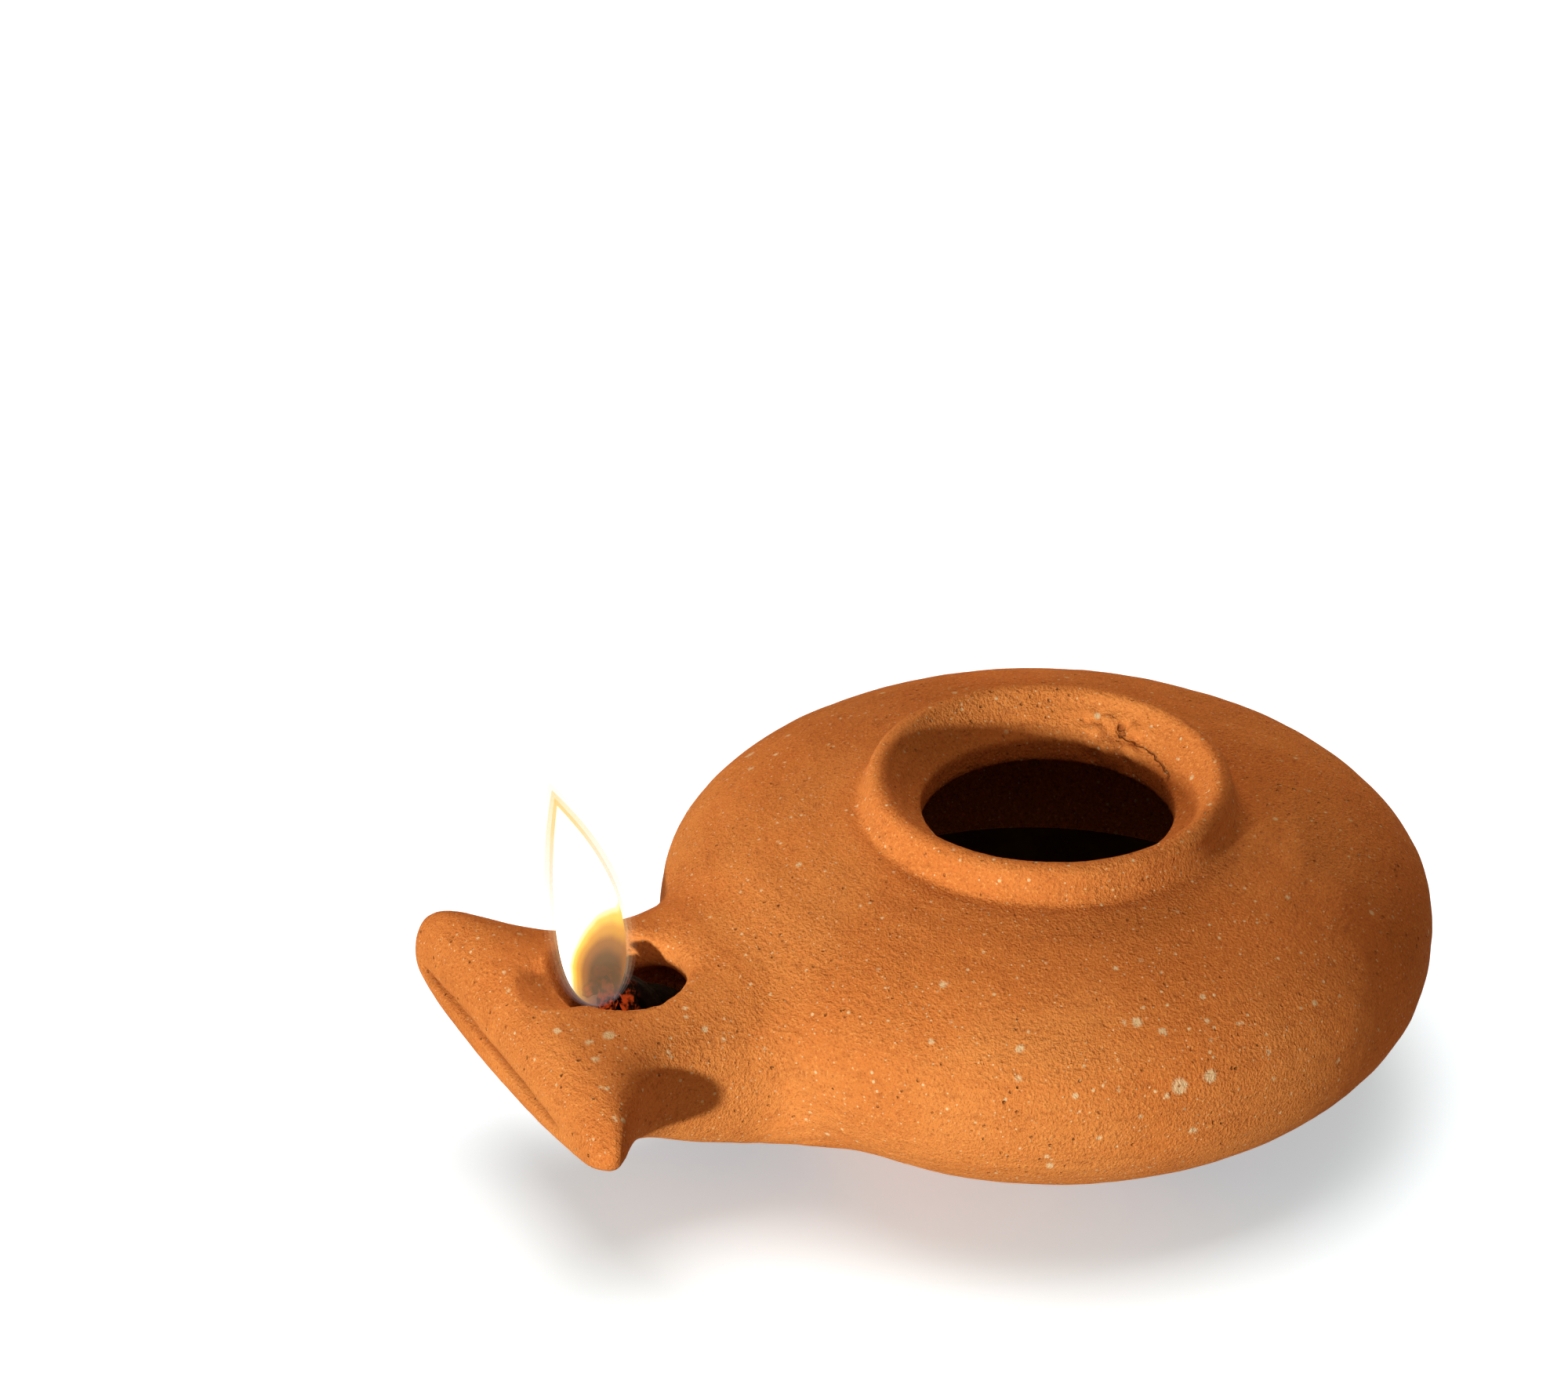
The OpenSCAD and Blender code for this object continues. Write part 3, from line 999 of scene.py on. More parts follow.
@dataclass
class NozzleShape:
    """The hand-formed nozzle: a pinched and pared tube, in millimetres.

    Each section holds its distance from the body's axis, half width, height of the underside, of
    the widest line and of the top, squareness above and below the widest line, and how much
    thinner the right horn is than the left one.
    """

    reach: float
    horn_half: float
    hole_centre: Point2 = (-1.0, -42.5)
    hole_r: float = 6.1
    scoop_centre: Point3 = (-1.2, -47.4, 22.2)
    scoop_size: Point3 = (4.2, 4.6, 2.2)
    crease_start: float = -18.5
    crease_length: float = 32.0
    crease_z: float = 15.7
    crease_width: float = 0.34
    crease_depth: float = 1.0
    channel_start: float = 24.0
    channel_end: float = 45.8
    channel_z: float = 13.4
    channel_size: Point2 = (14.0, 9.0)
    channel_rise: float = 5.0
    sections: list[tuple[float, ...]] = field(init=False)

    def __post_init__(self) -> None:
        """Sets the sections from the nozzle's reach and width."""
        reach, horn = self.reach, self.horn_half
        self.sections = [
            (reach - 30, 19.5, 4.0, 14.0, 25.8, 2.2, 2.4, 0),
            (reach - 26, 16.4, 4.5, 14.0, 24.9, 2.4, 2.6, 0),
            (reach - 22, 13.6, 5.1, 14.2, 23.5, 2.7, 2.8, 0),
            (reach - 18, 12.2, 5.9, 14.6, 22.5, 3.0, 2.8, 0),
            (reach - 14, 11.6, 7.0, 15.2, 22.0, 3.4, 2.8, 0.02),
            (reach - 10.5, 11.8, 8.4, 15.8, 21.8, 3.8, 2.7, 0.06),
            (reach - 7.5, 13.6, 9.7, 16.3, 21.8, 4.0, 2.6, 0.12),
            (reach - 5, 16.4, 10.7, 16.8, 21.8, 4.0, 2.5, 0.18),
            (reach - 3, horn - 1.1, 11.5, 17.0, 21.5, 3.8, 2.4, 0.22),
            (reach - 1.6, horn, 12.1, 16.8, 20.7, 3.4, 2.3, 0.24),
            (reach - 0.5, horn - 0.8, 12.9, 16.4, 19.2, 3.0, 2.2, 0.24),
            (reach, horn - 2.4, 13.9, 15.8, 17.4, 2.6, 2.2, 0.22),
        ]

    def rim(self, along: float, turn: float, grow: float = 0.0) -> Vector:
        """A point on the nozzle's skin.

        Args:
            along: the place from root to front, 0 to 1.
            turn: the bearing round the section, in radians.
            grow: how far outside the skin the point lies.

        Returns:
            The point, in metres.
        """
        row = smooth_row(self.sections, along * (len(self.sections) - 1))
        distance, half, low, mid, high, square_above, square_below, skew = row
        above = turn >= 0
        power = 2 / (square_above if above else square_below)
        across = math.copysign(abs(math.cos(turn)) ** power, math.cos(turn))
        lift = math.copysign(abs(math.sin(turn)) ** power, math.sin(turn))
        reach = (high - mid if above else mid - low) + grow
        return Vector(((half + grow) * across, -distance,
                       mid + reach * lift * (1 - skew * across))) * MM

    def solid(self, grow: float = 0.0, sides: int = 128, rings: int = 90) -> Mesh:
        """The nozzle before it is hollowed and trimmed."""
        return lofted(sides, rings, lambda along, turn: self.rim(along, turn, grow))

    def channel(self) -> Mesh:
        """The flat oval tunnel from the bowl towards the front."""
        return lofted(48, 24, self.tunnel)

    def tunnel(self, along: float, turn: float) -> Vector:
        """A point on the tunnel's wall.

        Args:
            along: the place from the bowl to the front, 0 to 1.
            turn: the bearing round the tunnel, in radians.

        Returns:
            The point, in metres.
        """
        width, height = self.channel_size
        reach = along * (self.channel_end - self.channel_start)
        distance = self.channel_start + reach
        end = 1 - 0.45 * ease(0.86, 1.0, along)
        flat = math.copysign((width - height) / 2, math.cos(turn))
        across = math.cos(turn) * height / 2 + flat
        up = math.sin(turn) * height / 2
        rise = (distance - self.channel_start) * math.tan(math.radians(self.channel_rise))
        return Vector((across * end, -distance, self.channel_z + rise + up * end)) * MM

    def wick_hole(self) -> Mesh:
        """The wick hole's tool: a slightly uneven, widening plug.

        Returns:
            The plug, in place.
        """
        bm = bmesh.new()
        bmesh.ops.create_cone(bm, cap_ends=True, segments=72, radius1=self.hole_r * 0.93 * MM,
                              radius2=self.hole_r * 1.08 * MM, depth=12 * MM)
        bmesh.ops.subdivide_edges(bm, edges=[e for e in bm.edges if abs(
            e.verts[0].co.z - e.verts[1].co.z) > 5 * MM], cuts=12)
        for vert in bm.verts:
            bearing = math.atan2(vert.co.y, vert.co.x)
            uneven = 1 + 0.035 * math.sin(2 * bearing + 0.6) + 0.02 * math.sin(5 * bearing)
            rough = 0.03 * noise.noise(vert.co / (1.3 * MM))
            vert.co.x *= uneven + rough
            vert.co.y *= uneven + rough
            if vert.co.y < 0:
                vert.co.y *= 1 - 0.50 * ease(1.8, -4.5, vert.co.z / MM)
        x, y = self.hole_centre
        bmesh.ops.translate(bm, verts=bm.verts, vec=Vector((x, y, 20.0)) * MM)
        return bm

    def thumbed_scoop(self) -> Mesh:
        """The shallow hollow that runs into the wick hole from the front.

        Returns:
            The hollow's tool, in place.
        """
        bm = bmesh.new()
        bmesh.ops.create_uvsphere(bm, u_segments=32, v_segments=20, radius=1.0)
        bmesh.ops.scale(bm, verts=bm.verts, vec=Vector(self.scoop_size) * MM)
        bmesh.ops.translate(bm, verts=bm.verts, vec=Vector(self.scoop_centre) * MM)
        return bm

    def crease(self, place: Vector) -> float:
        """How deep in the pinched crease of the front edge a place is.

        Args:
            place: the place, in millimetres.

        Returns:
            The depth, 0 to 1.
        """
        along = (place.x - self.crease_start) / self.crease_length
        if not 0 < along < 1 or place.y > 3.4 - self.reach:
            return 0.0
        line = self.crease_z + 0.2 * math.sin(5 * along)
        line += 0.12 * noise.noise(Vector((place.x / 1.6, 4.0, 0.0)))
        across = (place.z - line) / self.crease_width
        return math.exp(-across * across) * ease(0.0, 0.12, along) * ease(1.0, 0.75, along)


@dataclass
class LimeBlotches:
    """The larger lime grits, which have spread into pale blotches flush with the clay.

    On the body: bearing from +X in degrees, distance out, height and width in millimetres. On
    the nozzle: x, y and width. The widest have a heart painted dark, as painted shade standing in
    for the hole where the grit has fallen out.
    """

    places: tuple[tuple[float, float, float, float], ...] = (
        (-8, 36, 20.2, 2.3), (-3, 36, 20.6, 1.9), (-10, 36, 19.4, 0.9), (-13, 31, 25.2, 1.5),
        (-9, 32, 24.4, 1.1), (-15, 31, 25.4, 0.9), (-32, 33, 23.8, 1.2), (-47, 28, 26.1, 1.2),
        (-6, 36, 15.0, 1.3), (-20, 36, 15.6, 0.9), (-27, 36, 11.6, 1.2), (-32, 35, 21.8, 1.0),
        (7, 35, 21.0, 0.8), (-46, 33, 23.2, 1.0), (4, 33, 24.0, 0.9), (-1, 32, 24.6, 1.0),
        (140, 33, 23.0, 1.2), (95, 34, 20.0, 1.1), (60, 35, 14.0, 1.4), (175, 33, 22.5, 1.0),
        (215, 31, 25.0, 1.5), (222, 29, 26.0, 1.1), (250, 34, 12.0, 1.0), (20, 35, 17.0, 0.9),
    )
    nozzle_places: tuple[tuple[float, float, float], ...] = (
        (5.0, -51.2, 1.2), (7.9, -49.6, 1.3), (7.7, -47.5, 1.8), (10.3, -50.0, 1.2),
        (2.0, -50.9, 0.8), (-9.5, -48.0, 0.8), (13.6, -51.0, 0.8), (17.5, -51.6, 0.9),
        (-3.0, -52.2, 0.9), (9.5, -39.0, 1.0), (-5.0, -51.6, 0.8),
    )
    heart_width: float = 1.7

    def mark(self, form: Piece) -> None:
        """Writes the attribute that whitens the clay: up to 1 in a blotch, 2 in its heart, which
        the clay's colour darkens with painted shade.

        Args:
            form: the whole clay surface.
        """
        skin = surface_of(form)
        verts = form.data.vertices
        tree = KDTree(len(verts))
        for vert in verts:
            tree.insert(vert.co, vert.index)
        tree.balance()
        lime = form.data.attributes.new("lime", "FLOAT", "POINT").data
        for bearing, out, height, width in self.places:
            turn = math.radians(bearing)
            start = Vector((out * math.cos(turn), out * math.sin(turn), height)) * MM
            self.spread(tree, lime, skin.find_nearest(start)[0], width)
        for x, y, width in self.nozzle_places:
            hit = skin.ray_cast(Vector((x, y, 30.0)) * MM, Vector((0, 0, -1)))
            self.spread(tree, lime, hit[0], width)

    def spread(self, tree: KDTree, lime: Sequence, centre: Vector, width: float) -> None:
        """Marks one blotch.

        Args:
            tree: the clay's vertices.
            lime: the attribute's values.
            centre: the blotch's middle.
            width: its width in millimetres.
        """
        for _, index, gap in tree.find_range(centre, width * MM):
            out = gap / MM / width
            level = ease(0.50, 0.20, out)
            # The heart of a wide blotch goes above 1; the clay's colour paints it dark, as painted
            # shade.
            if width >= self.heart_width:
                level += ease(0.20, 0.0, out)
            lime[index].value = max(lime[index].value, level)


@dataclass
class Clay:
    """The lamp's clay: body, nozzle and slip, formed as one surface and parted at the joint."""

    thrown: ThrownShape
    nozzle: NozzleShape
    voxel: float = 0.45
    blend_start: float = 1.6
    blend_end: float = 6.0
    blend_zone: Point2 = (-46.0, -16.0)
    blend_levels: int = 10
    blend_rounds: int = 6
    ridge_depth: float = 0.030
    dents: tuple[tuple[float, float, Point3], ...] = (
        (0.10, 15.0, (3, 1, 7)), (0.045, 4.0, (0, 0, 0)), (0.025, 1.4, (0, 0, 0)))
    joint_reach: float = 1.6
    slip_half: float = 0.4
    shading_reach: float = 0.02
    unseen: str = "inner_wall"
    unseen_below: float = 24.5
    kept_share: float = 0.73
    finish: FiredClay = FiredClay()
    slip_finish: FiredClay = FiredClay(name="wiped_slip", relief=1.15)
    blotches: LimeBlotches = field(default_factory=LimeBlotches)

    def build(self) -> None:
        """Forms the clay and installs its three pieces."""
        fused = self.fused_form()
        self.work_surface(fused)
        self.mark_inside(fused)
        self.thin_out(fused)
        self.blotches.mark(fused)
        self.part(fused)
        bpy.data.objects.remove(fused)

    def fused_form(self) -> Piece:
        """Joins body and nozzle, opens the hollows and softens the joint.

        Returns:
            The whole clay surface.
        """
        body = new_object("clay_form", self.thrown.solid())
        body_skin = surface_of(body)
        tube = new_object("nozzle_form", self.nozzle.solid())
        tube_skin = surface_of(tube)
        carve(body, tube, Cut.ADD)
        for tool in (self.thrown.hollow(), self.nozzle.channel(), self.nozzle.wick_hole(),
                     self.nozzle.thumbed_scoop()):
            carve(body, new_object("tool", tool), Cut.TAKE)
        exact = surface_of(body)
        remesh = body.modifiers.new("even_mesh", "REMESH")
        remesh.mode = "VOXEL"
        remesh.voxel_size = self.voxel * MM
        settle_modifiers(body)
        self.soften(body, exact, body_skin, tube_skin)
        return body

    def soften(self, form: Piece, exact: BVHTree, body_skin: BVHTree,
               tube_skin: BVHTree) -> None:
        """Rounds the joint between body and nozzle, and draws the rest back to its true form.

        Args:
            form: the remeshed clay.
            exact: the surface before it was remeshed.
            body_skin: the thrown body's own surface.
            tube_skin: the nozzle's own surface.
        """
        bm = bmesh.new()
        bm.from_mesh(form.data)
        smooth(bm, bm.verts, 0.5)
        away = {}
        front, back = self.blend_zone
        for vert in bm.verts:
            if not front * MM < vert.co.y < back * MM:
                away[vert] = 1.0
                continue
            gap = max(body_skin.find_nearest(vert.co)[3], tube_skin.find_nearest(vert.co)[3])
            away[vert] = ease(self.blend_start, self.blend_end, gap / MM)
        for level in range(self.blend_levels):
            chosen = [v for v, far in away.items() if far < 1 - level / self.blend_levels]
            for _ in range(self.blend_rounds):
                smooth(bm, chosen, 0.5)
        for vert, far in away.items():
            if far > 0:
                place = exact.find_nearest(vert.co)[0]
                vert.co = vert.co.lerp(place, 0.95 * far)
        smooth(bm, bm.verts, 0.15)
        bm.to_mesh(form.data)
        bm.free()

    def work_surface(self, form: Piece) -> None:
        """Gives the clay its throwing ridges, dents and uneven hand-made faces.

        Args:
            form: the whole clay surface.
        """
        mesh = form.data
        normals = [n.vector.copy() for n in mesh.vertex_normals]
        crease_shade = mesh.attributes.new("crease_shade", "FLOAT", "POINT")
        torn = mesh.attributes.new("torn", "FLOAT", "POINT")
        for vert, normal in zip(mesh.vertices, normals):
            place = vert.co / MM
            radius = math.hypot(place.x, place.y)
            on_body = ease(39.0, 34.0, radius) if radius > 34.0 else 1.0
            sway = 1.4 * noise.noise(place / 26)
            ridge = math.sin((radius * 0.9 + place.z * 1.1 + sway) * 2.4)
            shift = self.ridge_depth * ridge * on_body
            for depth, size, start in self.dents:
                shift += depth * noise.noise(place / size + Vector(start))
            shift += self.torn_lip(place, radius)
            crease = self.nozzle.crease(place)
            # Painted shadow: the crease's line is written dark for the colour, where its upper lip
            # would shade it.
            crease_shade.data[vert.index].value = 0.9 * ease(0.05, 0.6, crease)
            neck = ease(-50, -44, place.y) * ease(-20, -31, place.y) * ease(9, 15, place.z)
            patch = 0.75 + 0.8 * noise.noise(place / 6 + Vector((0, 5, 2)))
            torn.data[vert.index].value = min(max(neck * patch, 0.0), 1.0)
            shift -= self.nozzle.crease_depth * crease
            if place.z < 1.2:
                shift *= ease(0.0, 1.2, place.z)
            vert.co = vert.co + normal * shift * MM
            vert.co.z = max(vert.co.z, 0.0)
        mesh.update()

    def torn_lip(self, place: Vector, radius: float) -> float:
        """The lumpy tear at the back of the dish.

        Args:
            place: a place on the clay, in millimetres.
            radius: its distance from the axis.

        Returns:
            How far the clay stands out there, in millimetres.
        """
        bearing = math.degrees(math.atan2(place.y, place.x))
        share = ease(104, 116, bearing) * ease(146, 134, bearing)
        share *= ease(10.9, 11.6, radius) * ease(14.2, 13.4, radius) * ease(25.6, 27.4, place.z)
        if share <= 0:
            return 0.0
        return share * (0.15 + 0.75 * noise.noise(place / 1.25) + 0.35 * noise.noise(place / 0.6))

    def mark_inside(self, form: Piece) -> None:
        """Writes the attribute that darkens the inner wall, for its oil soak together with painted
        shade down in the hollows, and groups what is unseen.

        Args:
            form: the whole clay surface.
        """
        hollow = new_object("hollow", self.thrown.hollow())
        channel = new_object("hollow_channel", self.nozzle.channel())
        skins = (surface_of(hollow), surface_of(channel))
        for tool in (hollow, channel):
            bpy.data.objects.remove(tool)
        mark = form.data.attributes.new("inside", "FLOAT", "POINT")
        unseen = form.vertex_groups.new(name=self.unseen)
        for index, vert in enumerate(form.data.vertices):
            place = vert.co / MM
            gap = min(skin.find_nearest(vert.co)[3] for skin in skins) / MM
            # Painted shade: the darkening starts just below the throat's edge, and below the wick
            # hole's rim in the nozzle.
            depth = ease(self.thrown.throat_z + 0.1, self.thrown.throat_z - 0.3, place.z)
            if place.y < -36:
                depth = ease(19.6, 17.6, place.z)
            mark.data[index].value = ease(1.0, 0.5, gap) * depth
            if gap < 0.6 and place.z < self.unseen_below and place.y > -38:
                unseen.add((index,), 1.0, "REPLACE")

    def thin_out(self, form: Piece) -> None:
        """Makes the mesh coarser on the inner wall, which is out of sight.

        Args:
            form: the whole clay surface.
        """
        fewer = form.modifiers.new("fewer", "DECIMATE")
        fewer.ratio = self.kept_share
        fewer.vertex_group = self.unseen
        fewer.vertex_group_factor = 10.0
        settle_modifiers(form)
        form.data.shade_smooth()

    def part(self, form: Piece) -> None:
        """Parts the clay into body, slip and nozzle along the body's wall, and installs them.

        Args:
            form: the whole clay surface.
        """
        zone = new_object("joint_zone", self.nozzle.solid(self.joint_reach, 64, 40))
        inner = new_object("wall_face", self.thrown.envelope(-self.slip_half))
        outer = new_object("slip_face", self.thrown.envelope(self.slip_half))
        carve(zone, inner, Cut.TAKE)
        body = copy_of(form, "thrown_body_clay")
        carve(body, zone, Cut.TAKE, keep_tool=True)
        tip = copy_of(form, "nozzle_clay")
        carve(tip, zone, Cut.KEEP)
        slip = copy_of(tip, "luting_slip_band")
        carve(tip, outer, Cut.TAKE, keep_tool=True)
        carve(slip, outer, Cut.KEEP)
        clay, wiped = self.finish.build(), self.slip_finish.build()
        for piece, node, slot, skin in ((body, "thrown_body", Slot.TERRACOTTA, clay),
                                        (tip, "nozzle", Slot.TERRACOTTA, clay),
                                        (slip, "luting_slip", Slot.SLIP, wiped)):
            piece.data.shade_smooth()
            piece.data.set_sharp_from_angle(angle=math.radians(62))
            self.match_shading(piece, form)
            dress(piece, skin)
            install(piece, Body.LAMP, slot, node)

    def match_shading(self, piece: Piece, form: Piece) -> None:
        """Gives a piece's outer face the whole form's shading, so that no edge shows at the joint.

        Args:
            piece: one of the parted pieces.
            form: the clay before it was parted.
        """
        shading = piece.modifiers.new("shading", "DATA_TRANSFER")
        shading.object = form
        shading.use_loop_data = True
        shading.data_types_loops = {"CUSTOM_NORMAL"}
        shading.loop_mapping = "POLYINTERP_NEAREST"
        shading.use_max_distance = True
        shading.max_distance = self.shading_reach * MM
        settle_modifiers(piece)


@dataclass
class Oil:
    """The oil in the bowl. The CAD's own solid is kept."""

    finish: LampOil = LampOil()

    def build(self) -> None:
        """Dresses the CAD oil."""
        dress(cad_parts["oil"], self.finish.build())
        LOG.info("oil: CAD solid dressed")


@dataclass
class Wick:
    """Three strands twisted into a cord, in millimetres.

    The centre line's points hold the distance from the body's axis and the height.
    """

    line: tuple[Point2, ...] = ((-8, 5.6), (0, 5.6), (8, 5.8), (16, 7.5), (24, 10.5),
                                (31, 13.3), (37, 15.8), (41.5, 18.3), (44.6, 21.2))
    wick_x: float = -1.0
    strand_r: float = 1.0
    lay_pitch: float = 15.0
    yarn_pitch: float = 5.0
    strands: int = 3
    yarns: int = 7
    finish: CharredLinen = CharredLinen()

    @property
    def length(self) -> float:
        """The wick's length along its centre line."""
        return 1.03 * math.dist(self.line[0], self.line[-1])

    def heading(self, along: float) -> Point2:
        """The centre line's direction.

        Args:
            along: the place along the line, 0 to 1.

        Returns:
            The direction as its share forwards and its share upwards.
        """
        last = len(self.line) - 1
        here = smooth_row(self.line, max(along - 0.002, 0) * last)
        ahead = smooth_row(self.line, min(along + 0.002, 1) * last)
        length = math.dist(here, ahead)
        return (ahead[0] - here[0]) / length, (ahead[1] - here[1]) / length

    def strand_point(self, number: int, along: float, turn: float) -> Vector:
        """A point on a strand, whose own yarns show as ridges that wind round it.

        Args:
            number: the strand, from 0.
            along: the place along it, 0 to 1.
            turn: the bearing round it, in radians.

        Returns:
            The point, in metres.
        """
        centre = smooth_row(self.line, along * (len(self.line) - 1))
        run, rise = self.heading(along)
        upward = Vector((0, rise, run))
        side = Vector((1, 0, 0))
        offset = self.strand_r * 2 / math.sqrt(3) * 1.03
        lay = math.tau * (number / self.strands + along * self.length / self.lay_pitch)
        middle = Vector((self.wick_x, -centre[0], centre[1]))
        middle += offset * (side * math.cos(lay) + upward * math.sin(lay))
        wound = turn * self.yarns - math.tau * along * self.length / self.yarn_pitch
        fray = 0.10 * noise.noise(Vector((along * 90, turn * 1.7, number * 9)))
        tip = 1 - 0.55 * ease(0.965, 1.0, along)
        reach = self.strand_r * tip * (0.93 + 0.07 * math.cos(wound) + fray)
        return (middle + reach * (side * math.cos(turn) + upward * math.sin(turn))) * MM

    def build(self) -> None:
        """Makes and installs the strands."""
        linen = self.finish.build()
        for number in range(self.strands):
            bm = lofted(42, 260, lambda along, turn: self.strand_point(number, along, turn))
            strand = new_object(f"wick_strand_{number + 1}_linen", bm)
            mark = strand.data.attributes.new("burn", "FLOAT", "POINT")
            for index, vert in enumerate(strand.data.vertices):
                mark.data[index].value = ease(31.0, 44.5, -vert.co.y / MM)
            dress(strand, linen)
            install(strand, Body.WICK, Slot.LINEN, f"wick_strand_{number + 1}")


@dataclass
class Flame:
    """The flame, as shells of burning gas one inside another, in millimetres."""

    lean: float = 12.0
    halos: int = 3
    drop: float = 1.3
    spread: float = 1.28
    seat_y: float = -44.3
    haze: Colour = (0.42, 0.30, 0.30)
    peach: Colour = (1.0, 0.58, 0.30)
    straw: Colour = (1.0, 0.76, 0.40)
    yellow: Colour = (1.0, 0.66, 0.18)
    # Painted shade: the lowest stops, nearly black and nearly solid, stand in for the dark wick
    # and the shadowed wick hole seen through the flame.
    core_stops: tuple[tuple[float, Colour, float], ...] = (
        (0.0, (0.014, 0.004, 0.002), 0.82), (0.36, (0.035, 0.009, 0.003), 0.86),
        (0.58, (0.13, 0.038, 0.006), 0.92), (0.74, (0.31, 0.125, 0.010), 0.95),
        (0.86, (0.50, 0.27, 0.03), 0.97), (0.94, (0.55, 0.46, 0.22), 1.0),
        (1.0, (1.0, 0.97, 0.92), 1.0))
    core_glow: float = 3.0
    heart_aside: float = 0.6
    heart_half: float = 3.2
    heart_shares: Point2 = (0.13, 0.34)

    def shell(self, name: str, width: float, top: float) -> Piece:
        """One teardrop shell.

        Args:
            name: the piece's name.
            width: its width as a share of the whole flame's.
            top: its tip's height as a share of the whole flame's.

        Returns:
            The shell.
        """
        low, high = (Vector(corner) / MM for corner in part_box("flame"))
        height = (high.z - low.z) / math.cos(math.radians(self.lean))
        wide = (high.x - low.x) / 2 * self.spread * width
        start, end = -self.drop, top * height
        span = end - start
        belly = start + 0.33 * span
        profile = bezier_path([(0, start), (wide * 0.62, start), (wide, start + 0.12 * span),
                               (wide, belly)], 16)
        profile += bezier_path([(wide, belly), (wide, start + 0.62 * span),
                                (wide * 0.36, start + 0.86 * span), (0, end)], 24)[1:]
        bm = spun(profile, 64)
        for vert in bm.verts:
            share = vert.co.z / MM / height
            vert.co.x += 0.35 * MM * math.sin(math.pi * share) * math.sin(3.3 * share)
            vert.co.y += 0.55 * MM * math.sin(math.pi * share)
        tilt = Matrix.Rotation(math.radians(self.lean), 4, "X")
        seat = Vector(((low.x + high.x) / 2, self.seat_y, low.z)) * MM
        bmesh.ops.transform(bm, matrix=Matrix.Translation(seat) @ tilt, verts=bm.verts)
        return new_object(name, bm)

    def build(self) -> None:
        """Makes, dresses and installs the shells, from the outermost to the core."""
        low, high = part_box("flame")
        seat = ((low[0] + high[0]) / 2, self.seat_y * MM, low[2])
        height = high[2] - low[2]
        shells = []
        for number in range(self.halos):
            inward = number / (self.halos - 1)
            stops = self.halo_stops(inward)
            gas = BurningGas(f"flame_halo_{number + 1}", seat, height, stops, 1.0)
            shells.append((gas, 1.0 - 0.19 * inward, 1.02 - 0.08 * inward))
        middle, half = (share * height / MM for share in self.heart_shares)
        heart = (self.heart_aside, middle, self.heart_half, half)
        core = BurningGas("flame_core", seat, height, self.core_stops, self.core_glow, heart)
        shells.append((core, 0.74, 0.90))
        for number, (gas, width, top) in enumerate(shells):
            piece = self.shell(gas.name, width, top)
            piece.visible_shadow = False
            dress(piece, gas.build())
            install(piece, Body.WICK, Slot.FLAME, *(("flame",) if number == 0 else ()))

    def halo_stops(self, inward: float) -> tuple[tuple[float, Colour, float], ...]:
        """The colours up a halo.

        Args:
            inward: 0 for the outermost halo, 1 for the innermost.

        Returns:
            The stops: the share of the height, the colour and how solid the gas looks.
        """
        solid = 0.10 + 0.18 * inward
        rim = tuple(out + (deep - out) * inward for out, deep in zip(self.peach, self.straw))
        return ((0.0, self.haze, 0.5 * solid), (0.15, rim, 0.22 * solid),
                (0.36, rim, 0.35 * solid), (0.60, rim, solid),
                (0.86, self.yellow, 1.4 * solid), (1.0, self.yellow, 2.0 * solid))


# ---------------------------------------------------------------- studio

@dataclass(frozen=True)
class StudioLamp:
    """A square lamp that faces the object. Distances in millimetres, angles in degrees.

    Its bearing is counted from the camera's right, anticlockwise from above, and its rise from
    the horizon.
    """

    name: str
    bearing: float
    rise: float
    away: float
    size: float
    watts: float
    colour: Colour
    lights: Lights = Lights.ALL_BUT_FLOOR


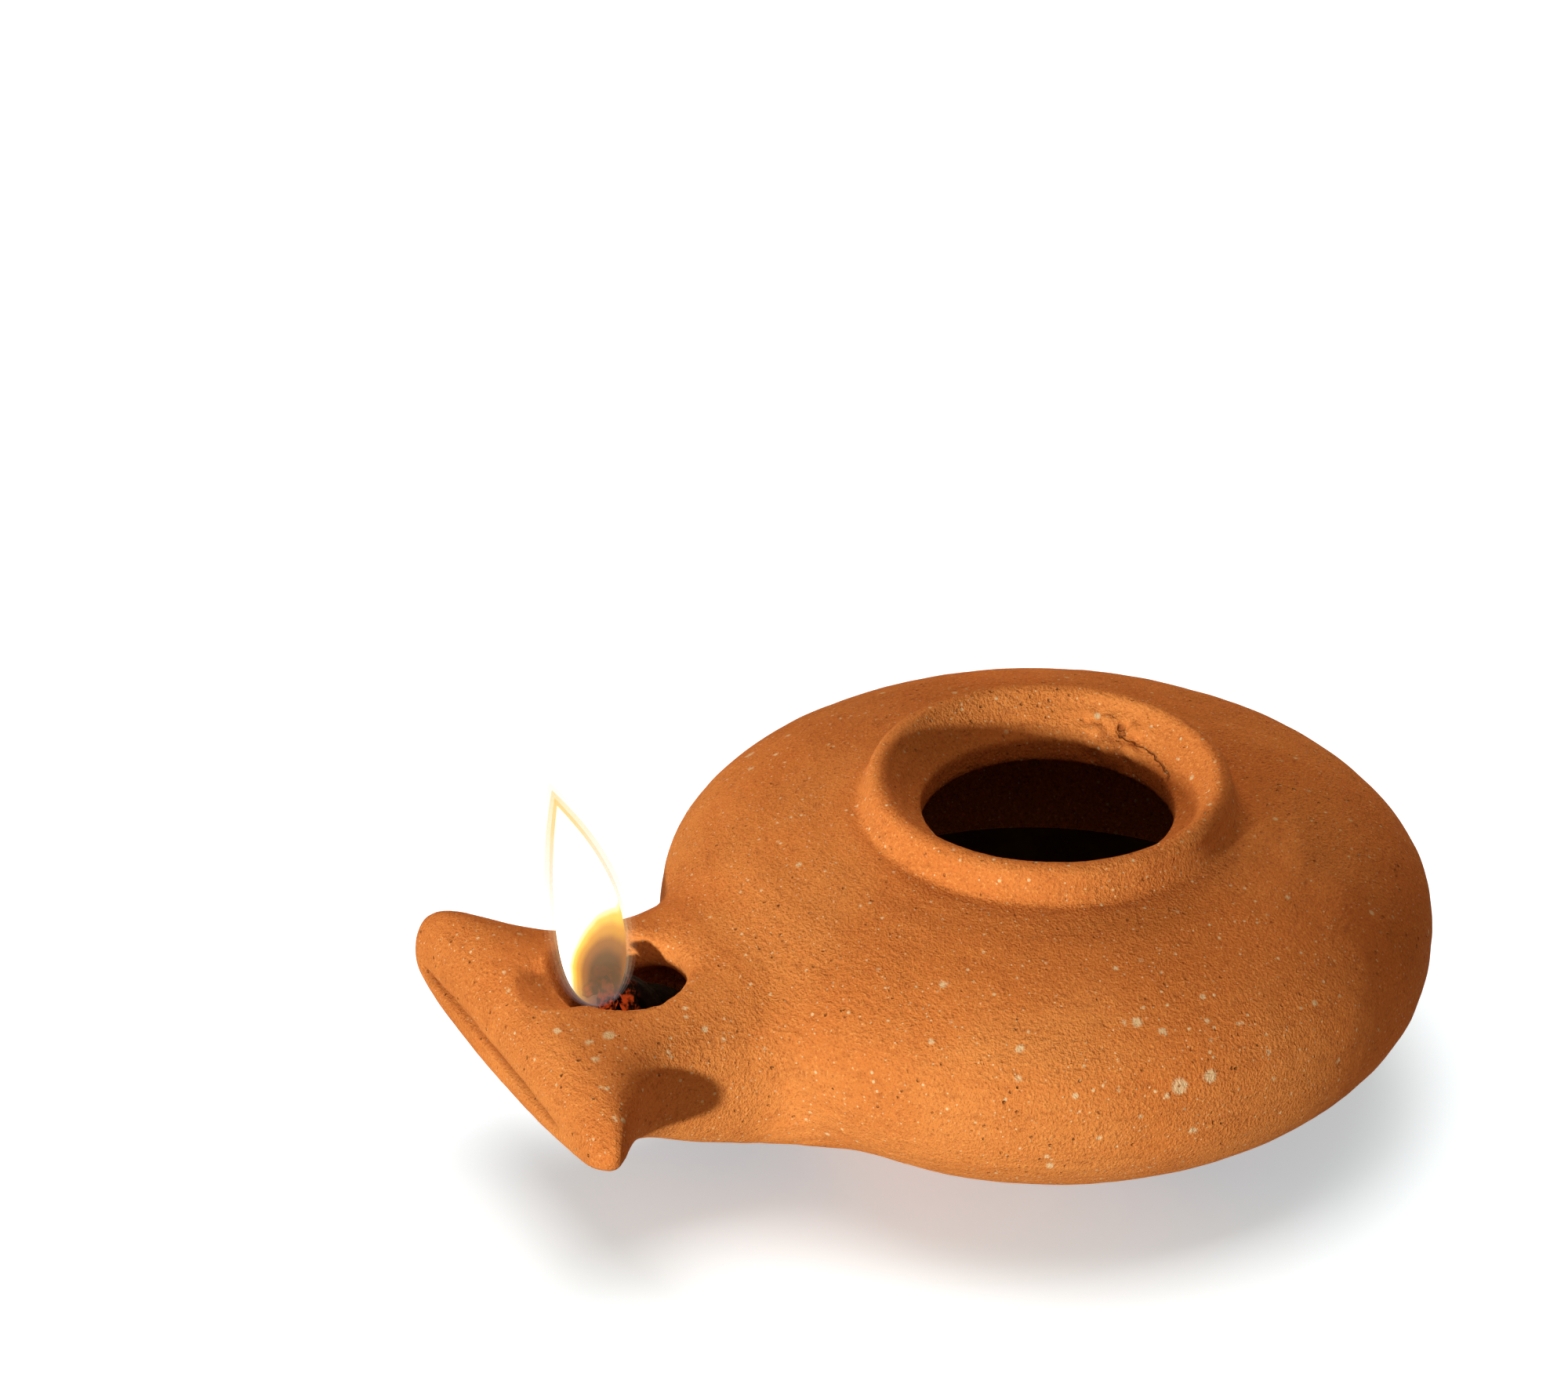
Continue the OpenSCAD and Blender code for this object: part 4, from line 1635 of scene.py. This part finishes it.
@dataclass
class Studio:
    """The camera, the floor and the lights. Distances in millimetres, angles in degrees."""

    bearing: float = 63.0
    elevation: float = 31.13
    roll: float = 0.92
    distance: float = 900.0
    aside: float = -23.92
    above: float = 34.09
    lens: float = 226.2
    floor: PaleFloor = PaleFloor()
    floor_half: float = 4000.0
    target: Point3 = (0.0, -10.0, 15.0)
    lamps: tuple[StudioLamp, ...] = (
        StudioLamp("key_light", 237.0, 8.0, 800.0, 35.0, 10.3, (0.96, 1.0, 0.92)),
        StudioLamp("fill_light", 105.0, 27.0, 900.0, 450.0, 5.9, (1.0, 0.79, 0.51)),
        StudioLamp("floor_light", 120.0, 80.0, 1500.0, 1500.0, 25.0, (1.0, 0.90, 0.83),
                   Lights.FLOOR_ONLY))
    surroundings: Colour = (1.0, 0.78, 0.56)
    surroundings_strength: float = 0.40

    def axes(self) -> tuple[Vector, Vector, Vector]:
        """The camera's directions.

        Returns:
            Its level right, its upward and its backward direction.
        """
        turn, tilt = math.radians(self.bearing), math.radians(self.elevation)
        right = Vector((math.cos(turn), math.sin(turn), 0))
        onward = Vector((-math.sin(turn), math.cos(turn), 0))
        upward = onward * math.sin(tilt) + Vector((0, 0, math.cos(tilt)))
        return right, upward, right.cross(upward)

    def place_camera(self) -> None:
        """Adds the camera and makes it the scene's."""
        right, upward, back = self.axes()
        roll = math.radians(self.roll)
        across = right * math.cos(roll) + upward * math.sin(roll)
        aloft = upward * math.cos(roll) - right * math.sin(roll)
        place = (right * self.aside + upward * self.above + back * self.distance) * MM
        lens = bpy.data.cameras.new("camera")
        lens.lens = self.lens
        lens.sensor_width = 36.0
        lens.clip_start = 0.01
        camera = bpy.data.objects.new("camera", lens)
        turn = Matrix((across, aloft, back)).transposed().to_4x4()
        camera.matrix_world = Matrix.Translation(place) @ turn
        bpy.context.scene.collection.objects.link(camera)
        bpy.context.scene.camera = camera

    def hang(self, lamp: StudioLamp, ground: Piece) -> None:
        """Adds a studio lamp, which lights the floor only, or everything but the floor.

        Args:
            lamp: the lamp.
            ground: the floor.
        """
        right = self.axes()[0]
        onward = Vector((-right.y, right.x, 0))
        turn, tilt = math.radians(lamp.bearing), math.radians(lamp.rise)
        level = right * math.cos(turn) + onward * math.sin(turn)
        target = Vector(self.target) * MM
        ray = level * math.cos(tilt) + Vector((0, 0, math.sin(tilt)))
        place = target + ray * lamp.away * MM
        light = bpy.data.lights.new(lamp.name, "AREA")
        light.shape = "SQUARE"
        light.size = lamp.size * MM
        light.energy = lamp.watts
        light.color = lamp.colour
        made = bpy.data.objects.new(lamp.name, light)
        made.matrix_world = Matrix.Translation(place) @ (
            place - target).to_track_quat("Z", "Y").to_matrix().to_4x4()
        bpy.context.scene.collection.objects.link(made)
        group = bpy.data.collections.new(f"{lamp.name}_receivers")
        group.objects.link(ground)
        made.light_linking.receiver_collection = group
        group.collection_objects[0].light_linking.link_state = lamp.lights.value

    def build(self) -> None:
        """Adds the floor, the lights and the white surroundings."""
        bm = bmesh.new()
        bmesh.ops.create_grid(bm, x_segments=8, y_segments=8, size=self.floor_half * MM)
        ground = new_object("studio_floor", bm)
        dress(ground, self.floor.build())
        ground.visible_diffuse = False
        for lamp in self.lamps:
            self.hang(lamp, ground)
        world = bpy.data.worlds.new("studio_white")
        world.use_nodes = True
        glow = world.node_tree.nodes["Background"]
        glow.inputs[0].default_value = (*self.surroundings, 1.0)
        glow.inputs[1].default_value = self.surroundings_strength
        bpy.context.scene.world = world
        bpy.context.scene.view_settings.view_transform = "Standard"


def size_from_frame() -> tuple[ThrownShape, NozzleShape]:
    """Reads the lamp's driving sizes from the CAD frame.

    Returns:
        The thrown body's and the nozzle's shapes.
    """
    low, high = (Vector(corner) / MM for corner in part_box("thrown_body"))
    tip_low, tip_high = (Vector(corner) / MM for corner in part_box("nozzle"))
    thrown = ThrownShape(body_r=(high.x - low.x) / 2, crest_z=high.z)
    nozzle = NozzleShape(reach=-tip_low.y, horn_half=(tip_high.x - tip_low.x) / 2)
    return thrown, nozzle


def main() -> None:
    """Builds the studio and every piece of the lamp, in order."""
    logging.basicConfig(level=logging.INFO, format="%(name)s %(message)s")
    studio = Studio()
    studio.place_camera()
    studio.build()
    thrown, nozzle = size_from_frame()
    Clay(thrown, nozzle).build()
    Oil().build()
    Wick().build()
    Flame().build()


if __name__ == "__main__":
    main()
